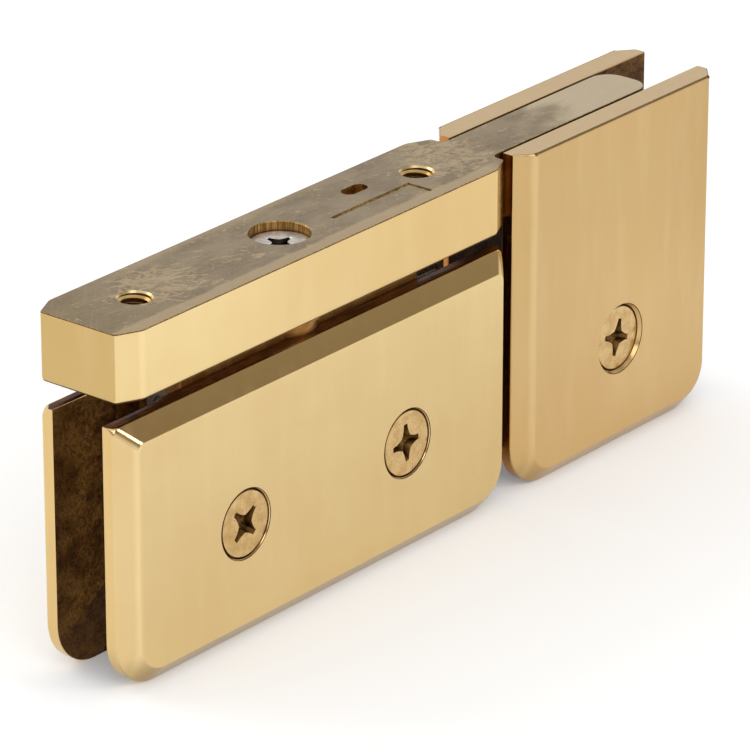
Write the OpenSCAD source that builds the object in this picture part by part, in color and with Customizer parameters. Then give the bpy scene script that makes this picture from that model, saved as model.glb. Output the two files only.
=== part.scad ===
// Pivot hinge for a frameless glass door, with an attached U-clamp for the fixed glass beside it.
// A cast brass header bar carries the pivot pin under it and a tongue at its right-hand end.
// The door clamp swings about the pin; the U-clamp grips the fixed glass and hangs on the tongue.
// Frame: origin on the pivot axis in the header's mounting face, +X towards the U-clamp,
// +Y towards the back plates, +Z up. Millimetres.

/* [Header bar] */
// Length of the bar, without its tongue
block_l = 90; // [80:1:120]
// Depth of the bar, front to back
block_w = 18; // [17:0.5:22]
// Height of the bar
block_h = 11; // [10:0.5:16]
// Length of the upright corner bevels along the bar
block_bevel_l = 4; // [2:0.5:6]
// Depth of the upright corner bevels
block_bevel_w = 1.9; // [1:0.1:2.5]
// Radius of the bar's lower edges
block_edge_r = 0.8; // [0.4:0.1:1.5]

/* [Tongue] */
// Reach of the tongue past the end of the bar
tongue_l = 41.5; // [34:0.5:44]
// Thickness of the tongue
tongue_t = 9.5; // [8:0.5:10]
// Radius of the two upright corners at the tongue's tip
tongue_tip_r = 3.5; // [2:0.5:4]
// Radius of the inner corners where the tongue leaves the bar
tongue_root_r = 1.2; // [0.5:0.1:1.5]

/* [Header fixings] */
// Distance between the two threaded fixing holes
fixing_spacing = 65; // [56:1:80]
// Radius of the threaded fixing holes, at the thread's core
fixing_r = 2.1; // [1.9:0.05:2.5]
// Radius of the fixing hole's chamfered mouth
fixing_mouth_r = 2.75; // [2.6:0.05:3.2]
// Slope of the fixing hole's chamfer, from the mounting face
fixing_mouth_slope = 30; // [25:5:45]
// Length of the oblong adjusting slot
slot_l = 5; // [4:0.5:7]
// Width of the oblong adjusting slot
slot_w = 2.6; // [2:0.1:3]
// Distance of the oblong slot from the pivot axis
slot_x = 20.8; // [18:0.2:23]
// Distance of the oblong slot behind the centre line
slot_y = 2.7; // [1.5:0.1:4]
// Depth of the oblong slot
slot_depth = 2; // [1:0.5:4]
// Length of the scribed border on the mounting face
scribe_l = 18.6; // [12:0.2:19]
// Width of the scribed border
scribe_w = 4.8; // [3:0.2:5.5]
// Distance of the scribed border's corner from the pivot axis
scribe_x = 28.1; // [24:0.1:29]
// Distance of the border's rear line in front of the centre line
scribe_y = 1.85; // [0.5:0.05:3]
// Width of the scribed line
scribe_line = 0.8; // [0.3:0.05:1]
// Depth of the scribed line
scribe_depth = 0.3; // [0.1:0.05:0.6]

/* [Clamp plates] */
// Height of the whole hinge, from mounting face to the lower edge of the plates
overall_h = 57; // [52:1:70]
// Length of the two door plates
door_plate_l = 90.8; // [86:0.4:92]
// Gap between the bar's underside and the top edge of the door plates
head_gap = 3.6; // [3.2:0.1:6]
// Length of the two U-clamp plates
u_plate_l = 50.8; // [46:0.4:60]
// Gap between the end of the bar and the U-clamp plates
u_gap = 2.2; // [2:0.1:5]
// Thickness of every plate
plate_t = 4.4; // [4:0.1:6]
// Thickness of a plate's square edge, before its bevel starts
plate_edge_t = 2; // [1.5:0.1:2.5]
// Width of the bevel round a plate's outer face
bevel_w = 2.8; // [1.5:0.1:4]
// Radius of a plate's lower corners
corner_r = 8; // [6:0.5:12]
// Space between the door plates, where the door glass sits
door_space = 9.5; // [9:0.5:13]
// Space between the U-clamp plates, where the fixed glass sits
u_space = 10.4; // [10.2:0.1:13]
// Height of the raised seat inside each door plate, where it meets the pivot body
seat_t = 0.6; // [0.3:0.1:0.9]
// Margin of the raised seat past each end of the pivot body
seat_margin = 4.4; // [2:0.2:8]

/* [Clamp screws] */
// Distance between the two door clamp screws
door_screw_spacing = 38; // [30:1:42]
// Depth of all clamp screws below the mounting face
screw_z = 38; // [37:0.5:39]
// Radius of a clamp screw's head
head_r = 5.4; // [4.5:0.1:5.8]
// Radius of a clamp screw's shank
shank_r = 2.9; // [2.5:0.1:3]
// Radius of a clamp screw's thread, at its core
thread_r = 2.45; // [2:0.05:2.5]
// Depth of the U-clamp screw's head below the plate's face
u_head_sink = 0.7; // [0.2:0.1:1]
// Depth of the door clamp screws' heads below the plate's face
door_head_sink = 0.2; // [0.1:0.1:1]
// Radius of the bosses inside the door back plate
door_boss_r = 5; // [4.5:0.1:6]
// Height of the bosses inside the door back plate
door_boss_h = 3; // [2:0.2:4]
// Radius of the round spacer inside the U-clamp back plate
u_boss_r = 6; // [5:0.5:8]
// Metal left behind the blind threaded holes in the back plates
tap_wall = 1.8; // [1.2:0.1:2.4]
// Width across the wings of a clamp screw's cross recess
cross_w = 6; // [4:0.2:6.6]
// Width of one wing of a cross recess
cross_slot = 1.15; // [0.8:0.05:1.4]
// Depth of a cross recess
cross_depth = 2.2; // [1.5:0.1:2.4]
// Turn of the recess in the left door screw
left_turn = 45; // [0:1:90]
// Turn of the recess in the right door screw
right_turn = 4; // [0:1:90]
// Turn of the recess in the U-clamp screw
u_turn = 76; // [0:1:90]

/* [Pivot body] */
// Length of the pivot body between the door plates
body_l = 55; // [52:1:60]
// Gap between the bar's underside and the top of the pivot body
body_gap = 1.4; // [1.3:0.1:2]
// Depth of the pivot body's lower face below the mounting face
body_bottom = 44; // [43:0.5:45]
// Radius of the upright barrel in the middle of the pivot body
barrel_r = 5.6; // [5.4:0.1:6]

/* [Pivot pin] */
// Radius of the pin's journals
pin_r = 3.5; // [3:0.1:3.6]
// Radius of the pin's cam, between its flats
cam_r = 4.3; // [4.1:0.05:4.4]
// Depth of each of the cam's four flats
flat_depth = 0.55; // [0.3:0.05:0.7]
// Length of the cam
cam_l = 7; // [6.6:0.1:8]
// Length of the pin's upper journal in its bush
upper_journal_l = 2.8; // [2.4:0.1:3.6]
// Length of the lower bush
lower_bush_l = 6.6; // [4:0.2:8]
// Height of the two-flat spigot that sits in the bar
spigot_h = 5.5; // [4:0.5:6]
// Width across the spigot's two flats
spigot_flats = 5.2; // [4:0.1:5.6]
// Radius of the bushes, outside
bush_r = 4.6; // [4.5:0.1:4.8]
// Radius of the upper bush's flange and the thrust washer
flange_r = 6.6; // [5.8:0.2:8]
// Thickness of the upper bush's flange
flange_t = 0.8; // [0.5:0.1:1]
// Thickness of the retaining ring on the pin
ring_t = 0.9; // [0.6:0.1:1.2]
// Length of the pin below its retaining ring
pin_tail = 1.4; // [1:0.1:2]
// Running clearance between the pin and its bushes
run = 0.03; // [0.02:0.01:0.08]

/* [Pin screw] */
// Radius of the counterbore over the pin's retaining screw
cbore_r = 4.75; // [4.2:0.05:5.5]
// Depth of the retaining screw's head below the mounting face
pin_screw_sink = 1.5; // [0.5:0.1:2]
// Radius of the retaining screw's head
pin_head_r = 4.65; // [4:0.05:4.7]
// Radius of the retaining screw's thread, at its core
pin_thread_r = 2.05; // [1.8:0.05:2.2]
// Depth of the threaded hole in the pin
pin_thread_l = 8; // [6:0.5:9]
// Width across the wings of the retaining screw's recess
pin_cross_w = 4.8; // [4:0.2:5.4]
// Turn of the recess in the retaining screw
pin_turn = 38; // [0:1:90]

/* [Detents] */
// Radius of the detent bores in the pivot body
detent_bore_r = 3; // [2.8:0.05:3.1]
// Clearance of a plunger in its bore
plunger_clear = 0.05; // [0.02:0.01:0.1]
// Clearance between a plunger's nose and the cam's round, with the plunger lifted
nose_clear = 0.05; // [0.03:0.01:0.1]
// Length of a plunger
plunger_l = 8; // [6:0.5:10]
// Depth of the spring pocket in a plunger's back
pocket_depth = 5; // [3:0.5:6]
// Diameter of the spring wire
wire_d = 0.7; // [0.5:0.05:0.8]
// Number of coils in a detent spring
spring_turns = 6; // [4:1:8]
// Length of a steel end plug
plug_l = 6; // [4:0.5:8]
// Depth of a plug's outer face inside the end of the pivot body
plug_sink = 0.3; // [0.2:0.1:1]
// Width across flats of the plug's hexagon socket
plug_hex = 3; // [2.5:0.1:3.2]
// Depth of the plug's hexagon socket
plug_hex_depth = 2.5; // [1.5:0.1:3]

/* [Tongue dowels] */
// Radius of the dowels that hang the U-clamp on the tongue
dowel_r = 2; // [1.5:0.1:2.5]
// Distance between the two dowels
dowel_spacing = 20; // [14:1:24]
// Depth of a dowel in each U-clamp plate
dowel_depth = 2.4; // [1.5:0.1:3]

/* [Hidden] */
$fn = 96;
eps = 0.01;
fit = 0.05;        // gap of a seated piece in its seat
running_gap = 0.05; // gap between two faces that slide on each other
lead = 0.5;        // chamfer at the tip of a screw and at the end of the pin
nose_chamfer = 0.4; // chamfer round a plunger's nose
dowel_chamfer = 0.3;

// Levels, from the mounting face down
block_z = -block_h;
door_top_z = block_z - head_gap;
door_plate_h = overall_h - block_h - head_gap;
body_top_z = block_z - body_gap;
cam_top_z = body_top_z - upper_journal_l - running_gap;
cam_bottom_z = cam_top_z - cam_l;
detent_z = (cam_top_z + cam_bottom_z) / 2;
lower_bush_top_z = cam_bottom_z - running_gap;
lower_bush_bottom_z = lower_bush_top_z - lower_bush_l;
ring_top_z = lower_bush_bottom_z - running_gap;
journal_top_z = block_z - running_gap;
pin_end_z = ring_top_z - ring_t - pin_tail;
washer_t = body_gap - flange_t - 2 * running_gap;

// Stations along X and Y
tongue_end_x = block_l / 2 + tongue_l;
u_x = block_l / 2 + u_gap;
u_screw_x = u_x + u_plate_l / 2;
body_t = door_space - 2 * seat_t;
seat_l = body_l + 2 * seat_margin;
dowel_mid_x = (u_x + tongue_end_x - tongue_tip_r) / 2;
dowel_l = u_space + 2 * dowel_depth - 2 * fit;

// Clamp screw parts
shank_gap = 0.3;    // gap round a screw's shank in its clearance hole
shank_hole_r = shank_r + shank_gap;
tap_r = thread_r + fit;
door_face_y = door_space / 2 + plate_t;
u_face_y = u_space / 2 + plate_t;
door_boss_y = body_t / 2 - door_boss_h;
door_tap_end_y = door_face_y - tap_wall;
u_tap_end_y = u_face_y - tap_wall;
shoulder_gap = 0.3; // gap between a screw's shank and the threaded hole it stops short of
tip_gap = 0.5;      // gap between a screw's tip and the end of its threaded hole

// Pin and detent parts
barrel_clear = 0.1;      // gap between the body's barrel and the plates' hollows
groove_depth = 0.6;      // depth of the retaining ring's groove in the pin
ring_proud = 0.5;        // how far the ring's edge stays inside the bush's
pocket_wall = 0.35;      // wall of a plunger round its spring
pin_hole_clear = 0.5;    // gap between the retaining screw's core and its clearance hole
pin_shank_clear = 0.1;   // gap between the retaining screw's shank and that hole
plunger_r = detent_bore_r - plunger_clear;
nose_x = cam_r + nose_clear;
plug_out_x = body_l / 2 - plug_sink;
plug_in_x = plug_out_x - plug_l;
spring_in_x = nose_x + plunger_l - pocket_depth + fit;
spring_out_x = plug_in_x - fit;
pocket_r = plunger_r - pocket_wall;
spring_r = pocket_r - wire_d / 2 - fit;
groove_r = pin_r - groove_depth;
ring_r = bush_r - ring_proud;
pin_top_z = block_z + spigot_h;
pin_hole_end_z = pin_top_z - pin_thread_l;
pin_clear_r = pin_thread_r + pin_hole_clear;
pin_shank_r = pin_clear_r - pin_shank_clear;

// Cylinder along +Y from y0 to y1
module y_rod(r, y0, y1) {
    translate([0, y0, 0]) rotate([-90, 0, 0]) cylinder(r = r, h = y1 - y0);
}

// Cone along +Y, radius ra at y0 and rb at y1
module y_cone(ra, rb, y0, y1) {
    translate([0, y0, 0]) rotate([-90, 0, 0]) cylinder(r1 = ra, r2 = rb, h = y1 - y0);
}

// Cylinder along +X from x0 to x1
module x_rod(r, x0, x1) {
    translate([x0, 0, 0]) rotate([0, 90, 0]) cylinder(r = r, h = x1 - x0);
}

// Cross recess cut down from z = 0: two tapering blades at right angles round a tapering well
module cross_recess(w, depth, turn) {
    for (a = [0, 90])
        rotate([0, 0, turn + a]) rotate([90, 0, 0])
            linear_extrude(cross_slot, center = true)
                polygon([[-w / 2, eps], [w / 2, eps], [w / 5, -depth], [-w / 5, -depth]]);
    translate([0, 0, -depth]) cylinder(r1 = cross_slot / 2, r2 = w * 0.24, h = depth + eps);
}

// Countersunk screw with its head's face at z = 0, its shank and then its thread's core down -Z
module countersunk_screw(top_r, shaft_r, core_r, shaft_end, core_end, cross, turn) {
    difference() {
        rotate_extrude() polygon([
            [0, 0], [top_r, 0], [shaft_r, shaft_r - top_r], [shaft_r, -shaft_end], [core_r, -shaft_end],
            [core_r, -core_end + lead], [core_r - lead, -core_end], [0, -core_end]
        ]);
        cross_recess(cross, cross_depth, turn);
    }
}

/* ---- Header bar ---- */

// Plan of the bar with its four bevelled corners
module block_plan() {
    x = block_l / 2;
    y = block_w / 2;
    polygon([
        [-x, y - block_bevel_w], [-x, -y + block_bevel_w], [-x + block_bevel_l, -y],
        [x - block_bevel_l, -y], [x, -y + block_bevel_w], [x, y - block_bevel_w],
        [x - block_bevel_l, y], [-x + block_bevel_l, y]
    ]);
}

// Outline w wide and h high, hanging below y = 0, with its two lower corners rounded
module round_bottomed(w, h, r) {
    difference() {
        translate([-w / 2, -h]) square([w, h]);
        for (s = [-1, 1]) translate([s * w / 2, -h]) translate([-r, -r]) square(2 * r);
    }
    for (s = [-1, 1]) translate([s * (w / 2 - r), -h + r]) circle(r);
}

// The solid bar with rounded lower edges
module block_bar() {
    intersection() {
        translate([0, 0, block_z]) linear_extrude(block_h) block_plan();
        rotate([90, 0, 0]) linear_extrude(2 * block_w, center = true)
            round_bottomed(block_l, block_h, block_edge_r);
        rotate([90, 0, 90]) linear_extrude(2 * block_l, center = true)
            round_bottomed(block_w, block_h, block_edge_r);
    }
}

// Plan of the tongue, starting inside the bar, with its tip rounded
module tongue_plan() {
    x0 = block_l / 2 - block_bevel_l;
    y = tongue_t / 2;
    translate([x0, -y]) square([tongue_end_x - tongue_tip_r - x0, tongue_t]);
    translate([x0, -y + tongue_tip_r]) square([tongue_end_x - x0, tongue_t - 2 * tongue_tip_r]);
    for (s = [-1, 1]) translate([tongue_end_x - tongue_tip_r, s * (y - tongue_tip_r)]) circle(tongue_tip_r);
    for (s = [-1, 1])
        difference() {
            translate([block_l / 2 - eps, s * (y + tongue_root_r / 2)])
                square([2 * (tongue_root_r + eps), tongue_root_r + 2 * eps], center = true);
            translate([block_l / 2 + tongue_root_r, s * (y + tongue_root_r)]) circle(tongue_root_r);
        }
}

// Threaded fixing hole, right through, with a chamfered mouth
module fixing_hole() {
    mouth_depth = (fixing_mouth_r - fixing_r) * tan(fixing_mouth_slope);
    translate([0, 0, block_z - eps]) cylinder(r = fixing_r, h = block_h + 2 * eps);
    translate([0, 0, -mouth_depth])
        cylinder(r1 = fixing_r, r2 = fixing_mouth_r + eps, h = mouth_depth + eps);
}

// Blind oblong slot
module oblong_slot() {
    translate([0, 0, -slot_depth]) linear_extrude(slot_depth + eps) {
        square([slot_l - slot_w, slot_w], center = true);
        for (s = [-1, 1]) translate([s * (slot_l - slot_w) / 2, 0]) circle(slot_w / 2);
    }
}

// Two scribed lines that frame the bare marking field
module scribed_corner() {
    translate([-scribe_l, -scribe_line, -scribe_depth])
        cube([scribe_l, scribe_line, scribe_depth + eps]);
    translate([-scribe_line, -scribe_w, -scribe_depth])
        cube([scribe_line, scribe_w, scribe_depth + eps]);
}

// Counterbore, cone and clearance hole for the screw that holds the pin
module pin_screw_hole() {
    seat_z = -pin_screw_sink - fit;
    seat_r = pin_head_r + fit;
    rotate_extrude() polygon([
        [0, eps], [cbore_r, eps], [cbore_r, seat_z], [seat_r, seat_z],
        [pin_clear_r, seat_z - seat_r + pin_clear_r], [pin_clear_r, pin_top_z - eps], [0, pin_top_z - eps]
    ]);
}

// Cross section of the pin's spigot: a round with two flats
module spigot_section(r, across) {
    intersection() {
        circle(r);
        square([2 * r + 1, across], center = true);
    }
}

module header_block() {
    color("burlywood")
    difference() {
        union() {
            block_bar();
            translate([0, 0, block_z]) linear_extrude(block_h) tongue_plan();
        }
        for (s = [-1, 1]) translate([s * fixing_spacing / 2, 0, 0]) fixing_hole();
        pin_screw_hole();
        translate([0, 0, block_z - eps])
            linear_extrude(spigot_h + fit + eps) spigot_section(pin_r, spigot_flats + 2 * fit);
        translate([slot_x, slot_y, 0]) oblong_slot();
        translate([scribe_x, -scribe_y, 0]) scribed_corner();
        for (s = [-1, 1])
            translate([dowel_mid_x + s * dowel_spacing / 2, 0, -block_h / 2])
                y_rod(dowel_r, -tongue_t, tongue_t);
    }
}

/* ---- Pivot ---- */

// The cam: a round with four flats, one pair for the shut door and one for the open door
module cam_section() {
    intersection() {
        circle(cam_r);
        square(2 * (cam_r - flat_depth), center = true);
    }
}

// The pin's two journals with the groove for its retaining ring and its chamfered lower end
module pin_turning() {
    groove_top_z = ring_top_z + fit;
    groove_bottom_z = ring_top_z - ring_t - fit;
    rotate_extrude() polygon([
        [0, journal_top_z], [pin_r, journal_top_z], [pin_r, groove_top_z], [groove_r, groove_top_z],
        [groove_r, groove_bottom_z], [pin_r, groove_bottom_z], [pin_r, pin_end_z + lead],
        [pin_r - lead, pin_end_z], [0, pin_end_z]
    ]);
}

module pivot_pin() {
    color("lightgray")
    difference() {
        union() {
            translate([0, 0, journal_top_z]) linear_extrude(pin_top_z - journal_top_z)
                spigot_section(pin_r - fit, spigot_flats);
            pin_turning();
            translate([0, 0, cam_bottom_z]) linear_extrude(cam_l) cam_section();
        }
        translate([0, 0, pin_hole_end_z]) cylinder(r = pin_thread_r + fit, h = pin_thread_l + eps);
    }
}

module pin_screw() {
    head_z = -pin_screw_sink;
    color("whitesmoke")
    translate([0, 0, head_z])
        countersunk_screw(pin_head_r, pin_shank_r, pin_thread_r, head_z - pin_top_z - shoulder_gap,
                          head_z - pin_hole_end_z - 2 * tip_gap, pin_cross_w, pin_turn);
}

module thrust_washer() {
    color("ivory")
    translate([0, 0, block_z - running_gap - washer_t])
        difference() {
            cylinder(r = flange_r, h = washer_t);
            translate([0, 0, -eps]) cylinder(r = pin_r + run, h = washer_t + 2 * eps);
        }
}

// Open ring that snaps into the groove near the pin's lower end
module retaining_ring() {
    color("dimgray")
    translate([0, 0, ring_top_z - ring_t])
        difference() {
            cylinder(r = ring_r, h = ring_t);
            translate([0, 0, -eps]) cylinder(r = groove_r + fit, h = ring_t + 2 * eps);
            translate([0, -groove_r * 0.6, -eps]) cube([ring_r + 1, groove_r * 1.2, ring_t + 2 * eps]);
        }
}

module upper_bush() {
    color("darkkhaki")
    difference() {
        union() {
            translate([0, 0, body_top_z]) cylinder(r = flange_r, h = flange_t);
            translate([0, 0, cam_top_z + running_gap]) cylinder(r = bush_r, h = upper_journal_l + eps);
        }
        translate([0, 0, cam_top_z]) cylinder(r = pin_r + run, h = upper_journal_l + flange_t + 1);
    }
}

module lower_bush() {
    color("darkkhaki")
    translate([0, 0, lower_bush_bottom_z])
        difference() {
            cylinder(r = bush_r, h = lower_bush_l);
            translate([0, 0, -eps]) cylinder(r = pin_r + run, h = lower_bush_l + 2 * eps);
        }
}

/* ---- Door clamp ---- */

module pivot_body() {
    color("peru")
    difference() {
        union() {
            translate([-body_l / 2, -body_t / 2, -body_bottom])
                cube([body_l, body_t, body_bottom + body_top_z]);
            translate([0, 0, -body_bottom]) cylinder(r = barrel_r, h = body_bottom + body_top_z);
        }
        translate([0, 0, -body_bottom - eps]) cylinder(r = bush_r, h = body_bottom + body_top_z + 2 * eps);
        translate([0, 0, detent_z]) x_rod(detent_bore_r, -body_l, body_l);
        for (s = [-1, 1]) translate([s * door_screw_spacing / 2, 0, -screw_z]) {
            y_rod(shank_hole_r, -body_t, body_t);
            y_rod(door_boss_r + fit, door_boss_y - fit, body_t);
        }
    }
}

// Detent plunger, nose towards -X, its nose at x = 0 and its spring pocket in its back
module plunger() {
    rotate([0, 90, 0]) rotate_extrude() polygon([
        [0, 0], [plunger_r - nose_chamfer, 0], [plunger_r, nose_chamfer], [plunger_r, plunger_l],
        [pocket_r, plunger_l], [pocket_r, plunger_l - pocket_depth], [0, plunger_l - pocket_depth]
    ]);
}

// Point k of the spring's helix, from x0 to x1, with the two end coils closed up
function helix_point(u, x0, x1) =
    let (a = 360 * spring_turns * u,
         closed = 1 / spring_turns,
         pitch_u = u < closed ? u * 0.35 :
                   u > 1 - closed ? 1 - (1 - u) * 0.35 :
                   closed * 0.35 + (u - closed) * (1 - 2 * closed * 0.35) / (1 - 2 * closed))
    [x0 + (x1 - x0) * pitch_u, spring_r * cos(a), spring_r * sin(a)];

// Coil spring between x0 and x1, swept from a ring of sides round the helix
module coil_spring(x0, x1) {
    sides = 8;
    rings = 14 * spring_turns;
    a0 = x0 + wire_d / 2;
    a1 = x1 - wire_d / 2;
    points = [for (i = [0:rings]) let (p = helix_point(i / rings, a0, a1), a = 360 * spring_turns * i / rings)
        for (j = [0:sides - 1]) let (b = 360 * j / sides)
            p + wire_d / 2 * [sin(b), cos(b) * cos(a), cos(b) * sin(a)]];
    walls = [for (i = [0:rings - 1]) for (j = [0:sides - 1])
        let (k = (j + 1) % sides)
            [i * sides + j, i * sides + k, (i + 1) * sides + k, (i + 1) * sides + j]];
    ends = [[for (j = [sides - 1:-1:0]) j], [for (j = [0:sides - 1]) rings * sides + j]];
    polyhedron(points, concat(walls, ends), convexity = 10);
}

// Steel end plug with a hexagon socket, its outer face at plug_out_x
module end_plug() {
    difference() {
        x_rod(detent_bore_r - fit / 2, plug_in_x, plug_out_x);
        translate([plug_out_x - plug_hex_depth, 0, 0]) rotate([0, 90, 0])
            cylinder(d = plug_hex / cos(30), h = plug_hex_depth + eps, $fn = 6);
    }
}

module detent_plunger_right() {
    color("silver") translate([nose_x, 0, detent_z]) plunger();
}

module detent_plunger_left() {
    color("silver") mirror([1, 0, 0]) translate([nose_x, 0, detent_z]) plunger();
}

module detent_spring_right() {
    color("dimgray") translate([0, 0, detent_z]) coil_spring(spring_in_x, spring_out_x);
}

module detent_spring_left() {
    color("dimgray") mirror([1, 0, 0]) translate([0, 0, detent_z]) coil_spring(spring_in_x, spring_out_x);
}

module detent_plug_right() {
    color("silver") translate([0, 0, detent_z]) end_plug();
}

module detent_plug_left() {
    color("silver") mirror([1, 0, 0]) translate([0, 0, detent_z]) end_plug();
}

/* ---- Plates ---- */

// Plate l long and h high, its inner face at y = 0 and its top at z = 0, centred on x = 0.
// Its outer face has a bevel on both sides and the bottom, and on the top too if top_bevel is true.
module plate_blank(l, h, top_bevel) {
    x = l / 2;
    drop = top_bevel ? bevel_w : 0;
    side = [[-x, 0], [x, 0], [x, plate_edge_t], [x - bevel_w, plate_t],
            [-x + bevel_w, plate_t], [-x, plate_edge_t]];
    rise = [[0, 0], [plate_edge_t, 0], [plate_t, -drop],
            [plate_t, -h + bevel_w], [plate_edge_t, -h], [0, -h]];
    rise_flat = [[0, 0], [plate_t, 0], [plate_t, -h + bevel_w], [plate_edge_t, -h], [0, -h]];
    intersection() {
        translate([0, 0, -h]) linear_extrude(h) polygon(side);
        rotate([90, 0, 90]) linear_extrude(2 * l, center = true)
            polygon(top_bevel ? rise : rise_flat);
        union() {
            translate([-x, 0, -h + corner_r]) cube([l, plate_t, h]);
            translate([-x + corner_r, 0, -h]) cube([l - 2 * corner_r, plate_t, h]);
            for (s = [-1, 1]) translate([s * (x - corner_r), 0, -h + corner_r]) {
                y_rod(corner_r, 0, plate_edge_t);
                y_cone(corner_r, corner_r - bevel_w, plate_edge_t, plate_t);
            }
        }
    }
}

// Countersunk hole through a plate of the given depth, its mouth in the face at y = plate_t,
// so wide that a screw's head sits the given sink below that face
module countersunk_hole(depth, sink) {
    mouth_r = head_r + fit + sink;
    y_rod(shank_hole_r, plate_t - depth - eps, plate_t);
    y_cone(shank_hole_r, mouth_r + eps, plate_t - mouth_r + shank_hole_r, plate_t + eps);
}

// Door plate with its raised seat and the hollow that clears the pivot body's barrel
module door_plate_blank() {
    seat_h = body_bottom + door_top_z;
    difference() {
        union() {
            plate_blank(door_plate_l, door_plate_h, true);
            translate([-seat_l / 2, -seat_t, -seat_h]) cube([seat_l, seat_t + 1, seat_h]);
        }
        translate([0, -door_space / 2, -seat_h - barrel_clear])
            cylinder(r = barrel_r + barrel_clear, h = seat_h + barrel_clear + eps);
    }
}

// Carries its children to the door's front plate or, mirrored, its back plate
module at_door_side(side) {
    translate([0, side * door_space / 2, door_top_z])
        mirror([0, side < 0 ? 1 : 0, 0]) children();
}

module at_u_side(side) {
    translate([u_screw_x, side * u_space / 2, 0])
        mirror([0, side < 0 ? 1 : 0, 0]) children();
}

module door_front_plate() {
    color("goldenrod")
    difference() {
        at_door_side(-1) door_plate_blank();
        for (s = [-1, 1])
            at_door_side(-1) translate([s * door_screw_spacing / 2, 0, -screw_z - door_top_z])
                countersunk_hole(plate_t + seat_t, door_head_sink);
    }
}

module door_back_plate() {
    color("goldenrod")
    difference() {
        union() {
            at_door_side(1) door_plate_blank();
            for (s = [-1, 1]) translate([s * door_screw_spacing / 2, 0, -screw_z])
                y_rod(door_boss_r, door_boss_y, body_t / 2 + eps);
        }
        for (s = [-1, 1]) translate([s * door_screw_spacing / 2, 0, -screw_z])
            y_rod(tap_r, door_boss_y - eps, door_tap_end_y);
    }
}

// Blind holes for the two dowels, open at the plate's inner face
module dowel_sockets() {
    for (s = [-1, 1])
        translate([dowel_mid_x - u_screw_x + s * dowel_spacing / 2, 0, -block_h / 2])
            y_rod(dowel_r + fit, -eps, dowel_depth);
}

module u_front_plate() {
    color("goldenrod")
    at_u_side(-1) difference() {
        plate_blank(u_plate_l, overall_h, false);
        translate([0, 0, -screw_z]) countersunk_hole(plate_t, u_head_sink);
        dowel_sockets();
    }
}

module u_back_plate() {
    color("goldenrod")
    difference() {
        union() {
            at_u_side(1) plate_blank(u_plate_l, overall_h, false);
            translate([u_screw_x, 0, -screw_z]) y_rod(u_boss_r, -u_space / 2, u_space / 2 + eps);
        }
        translate([u_screw_x, 0, -screw_z]) y_rod(tap_r, -u_space / 2 - eps, u_tap_end_y);
        at_u_side(1) dowel_sockets();
    }
}

/* ---- Fasteners ---- */

// Clamp screw laid along Y, its head's face sunk under the plate's face at -face_y, its thread in
// the hole that starts at tap_y and ends at tap_end_y
module clamp_screw(face_y, sink, tap_y, tap_end_y, turn) {
    head_y = -face_y + sink;
    translate([0, head_y, 0]) rotate([90, 0, 0])
        countersunk_screw(head_r, shank_r, thread_r, tap_y - shoulder_gap - head_y,
                          tap_end_y - tip_gap - head_y, cross_w, turn);
}

module door_screw(s, turn) {
    translate([s * door_screw_spacing / 2, 0, -screw_z])
        clamp_screw(door_face_y, door_head_sink, door_boss_y, door_tap_end_y, turn);
}

module door_screw_left() {
    color("gold") door_screw(-1, left_turn);
}

module door_screw_right() {
    color("gold") door_screw(1, right_turn);
}

module u_clamp_screw() {
    color("gold")
    translate([u_screw_x, 0, -screw_z])
        clamp_screw(u_face_y, u_head_sink, -u_space / 2, u_tap_end_y, u_turn);
}

// Dowel across the tongue, its chamfered ends in the two U-clamp plates
module tongue_dowel(s) {
    y = dowel_l / 2;
    translate([dowel_mid_x + s * dowel_spacing / 2, 0, -block_h / 2]) rotate([-90, 0, 0])
        rotate_extrude() polygon([
            [0, -y], [dowel_r - dowel_chamfer, -y], [dowel_r, -y + dowel_chamfer],
            [dowel_r, y - dowel_chamfer], [dowel_r - dowel_chamfer, y], [0, y]
        ]);
}

module tongue_dowel_left() {
    color("lightgray") tongue_dowel(-1);
}

module tongue_dowel_right() {
    color("lightgray") tongue_dowel(1);
}

header_block();
pivot_pin();
pin_screw();
thrust_washer();
retaining_ring();
u_front_plate();
u_back_plate();
u_clamp_screw();
tongue_dowel_left();
tongue_dowel_right();
pivot_body();
upper_bush();
lower_bush();
detent_plunger_left();
detent_plunger_right();
detent_spring_left();
detent_spring_right();
detent_plug_left();
detent_plug_right();
door_front_plate();
door_back_plate();
door_screw_left();
door_screw_right();
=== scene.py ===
# Brass pivot hinge for a glass door, with its U-clamp. Sizes of the pieces are in millimetres,
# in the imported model's frame: the pivot axis is Z, the mounting face is z = 0.
from math import cos, hypot, pi, radians, sin

import bmesh
import bpy
from mathutils import Matrix, Vector


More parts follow.
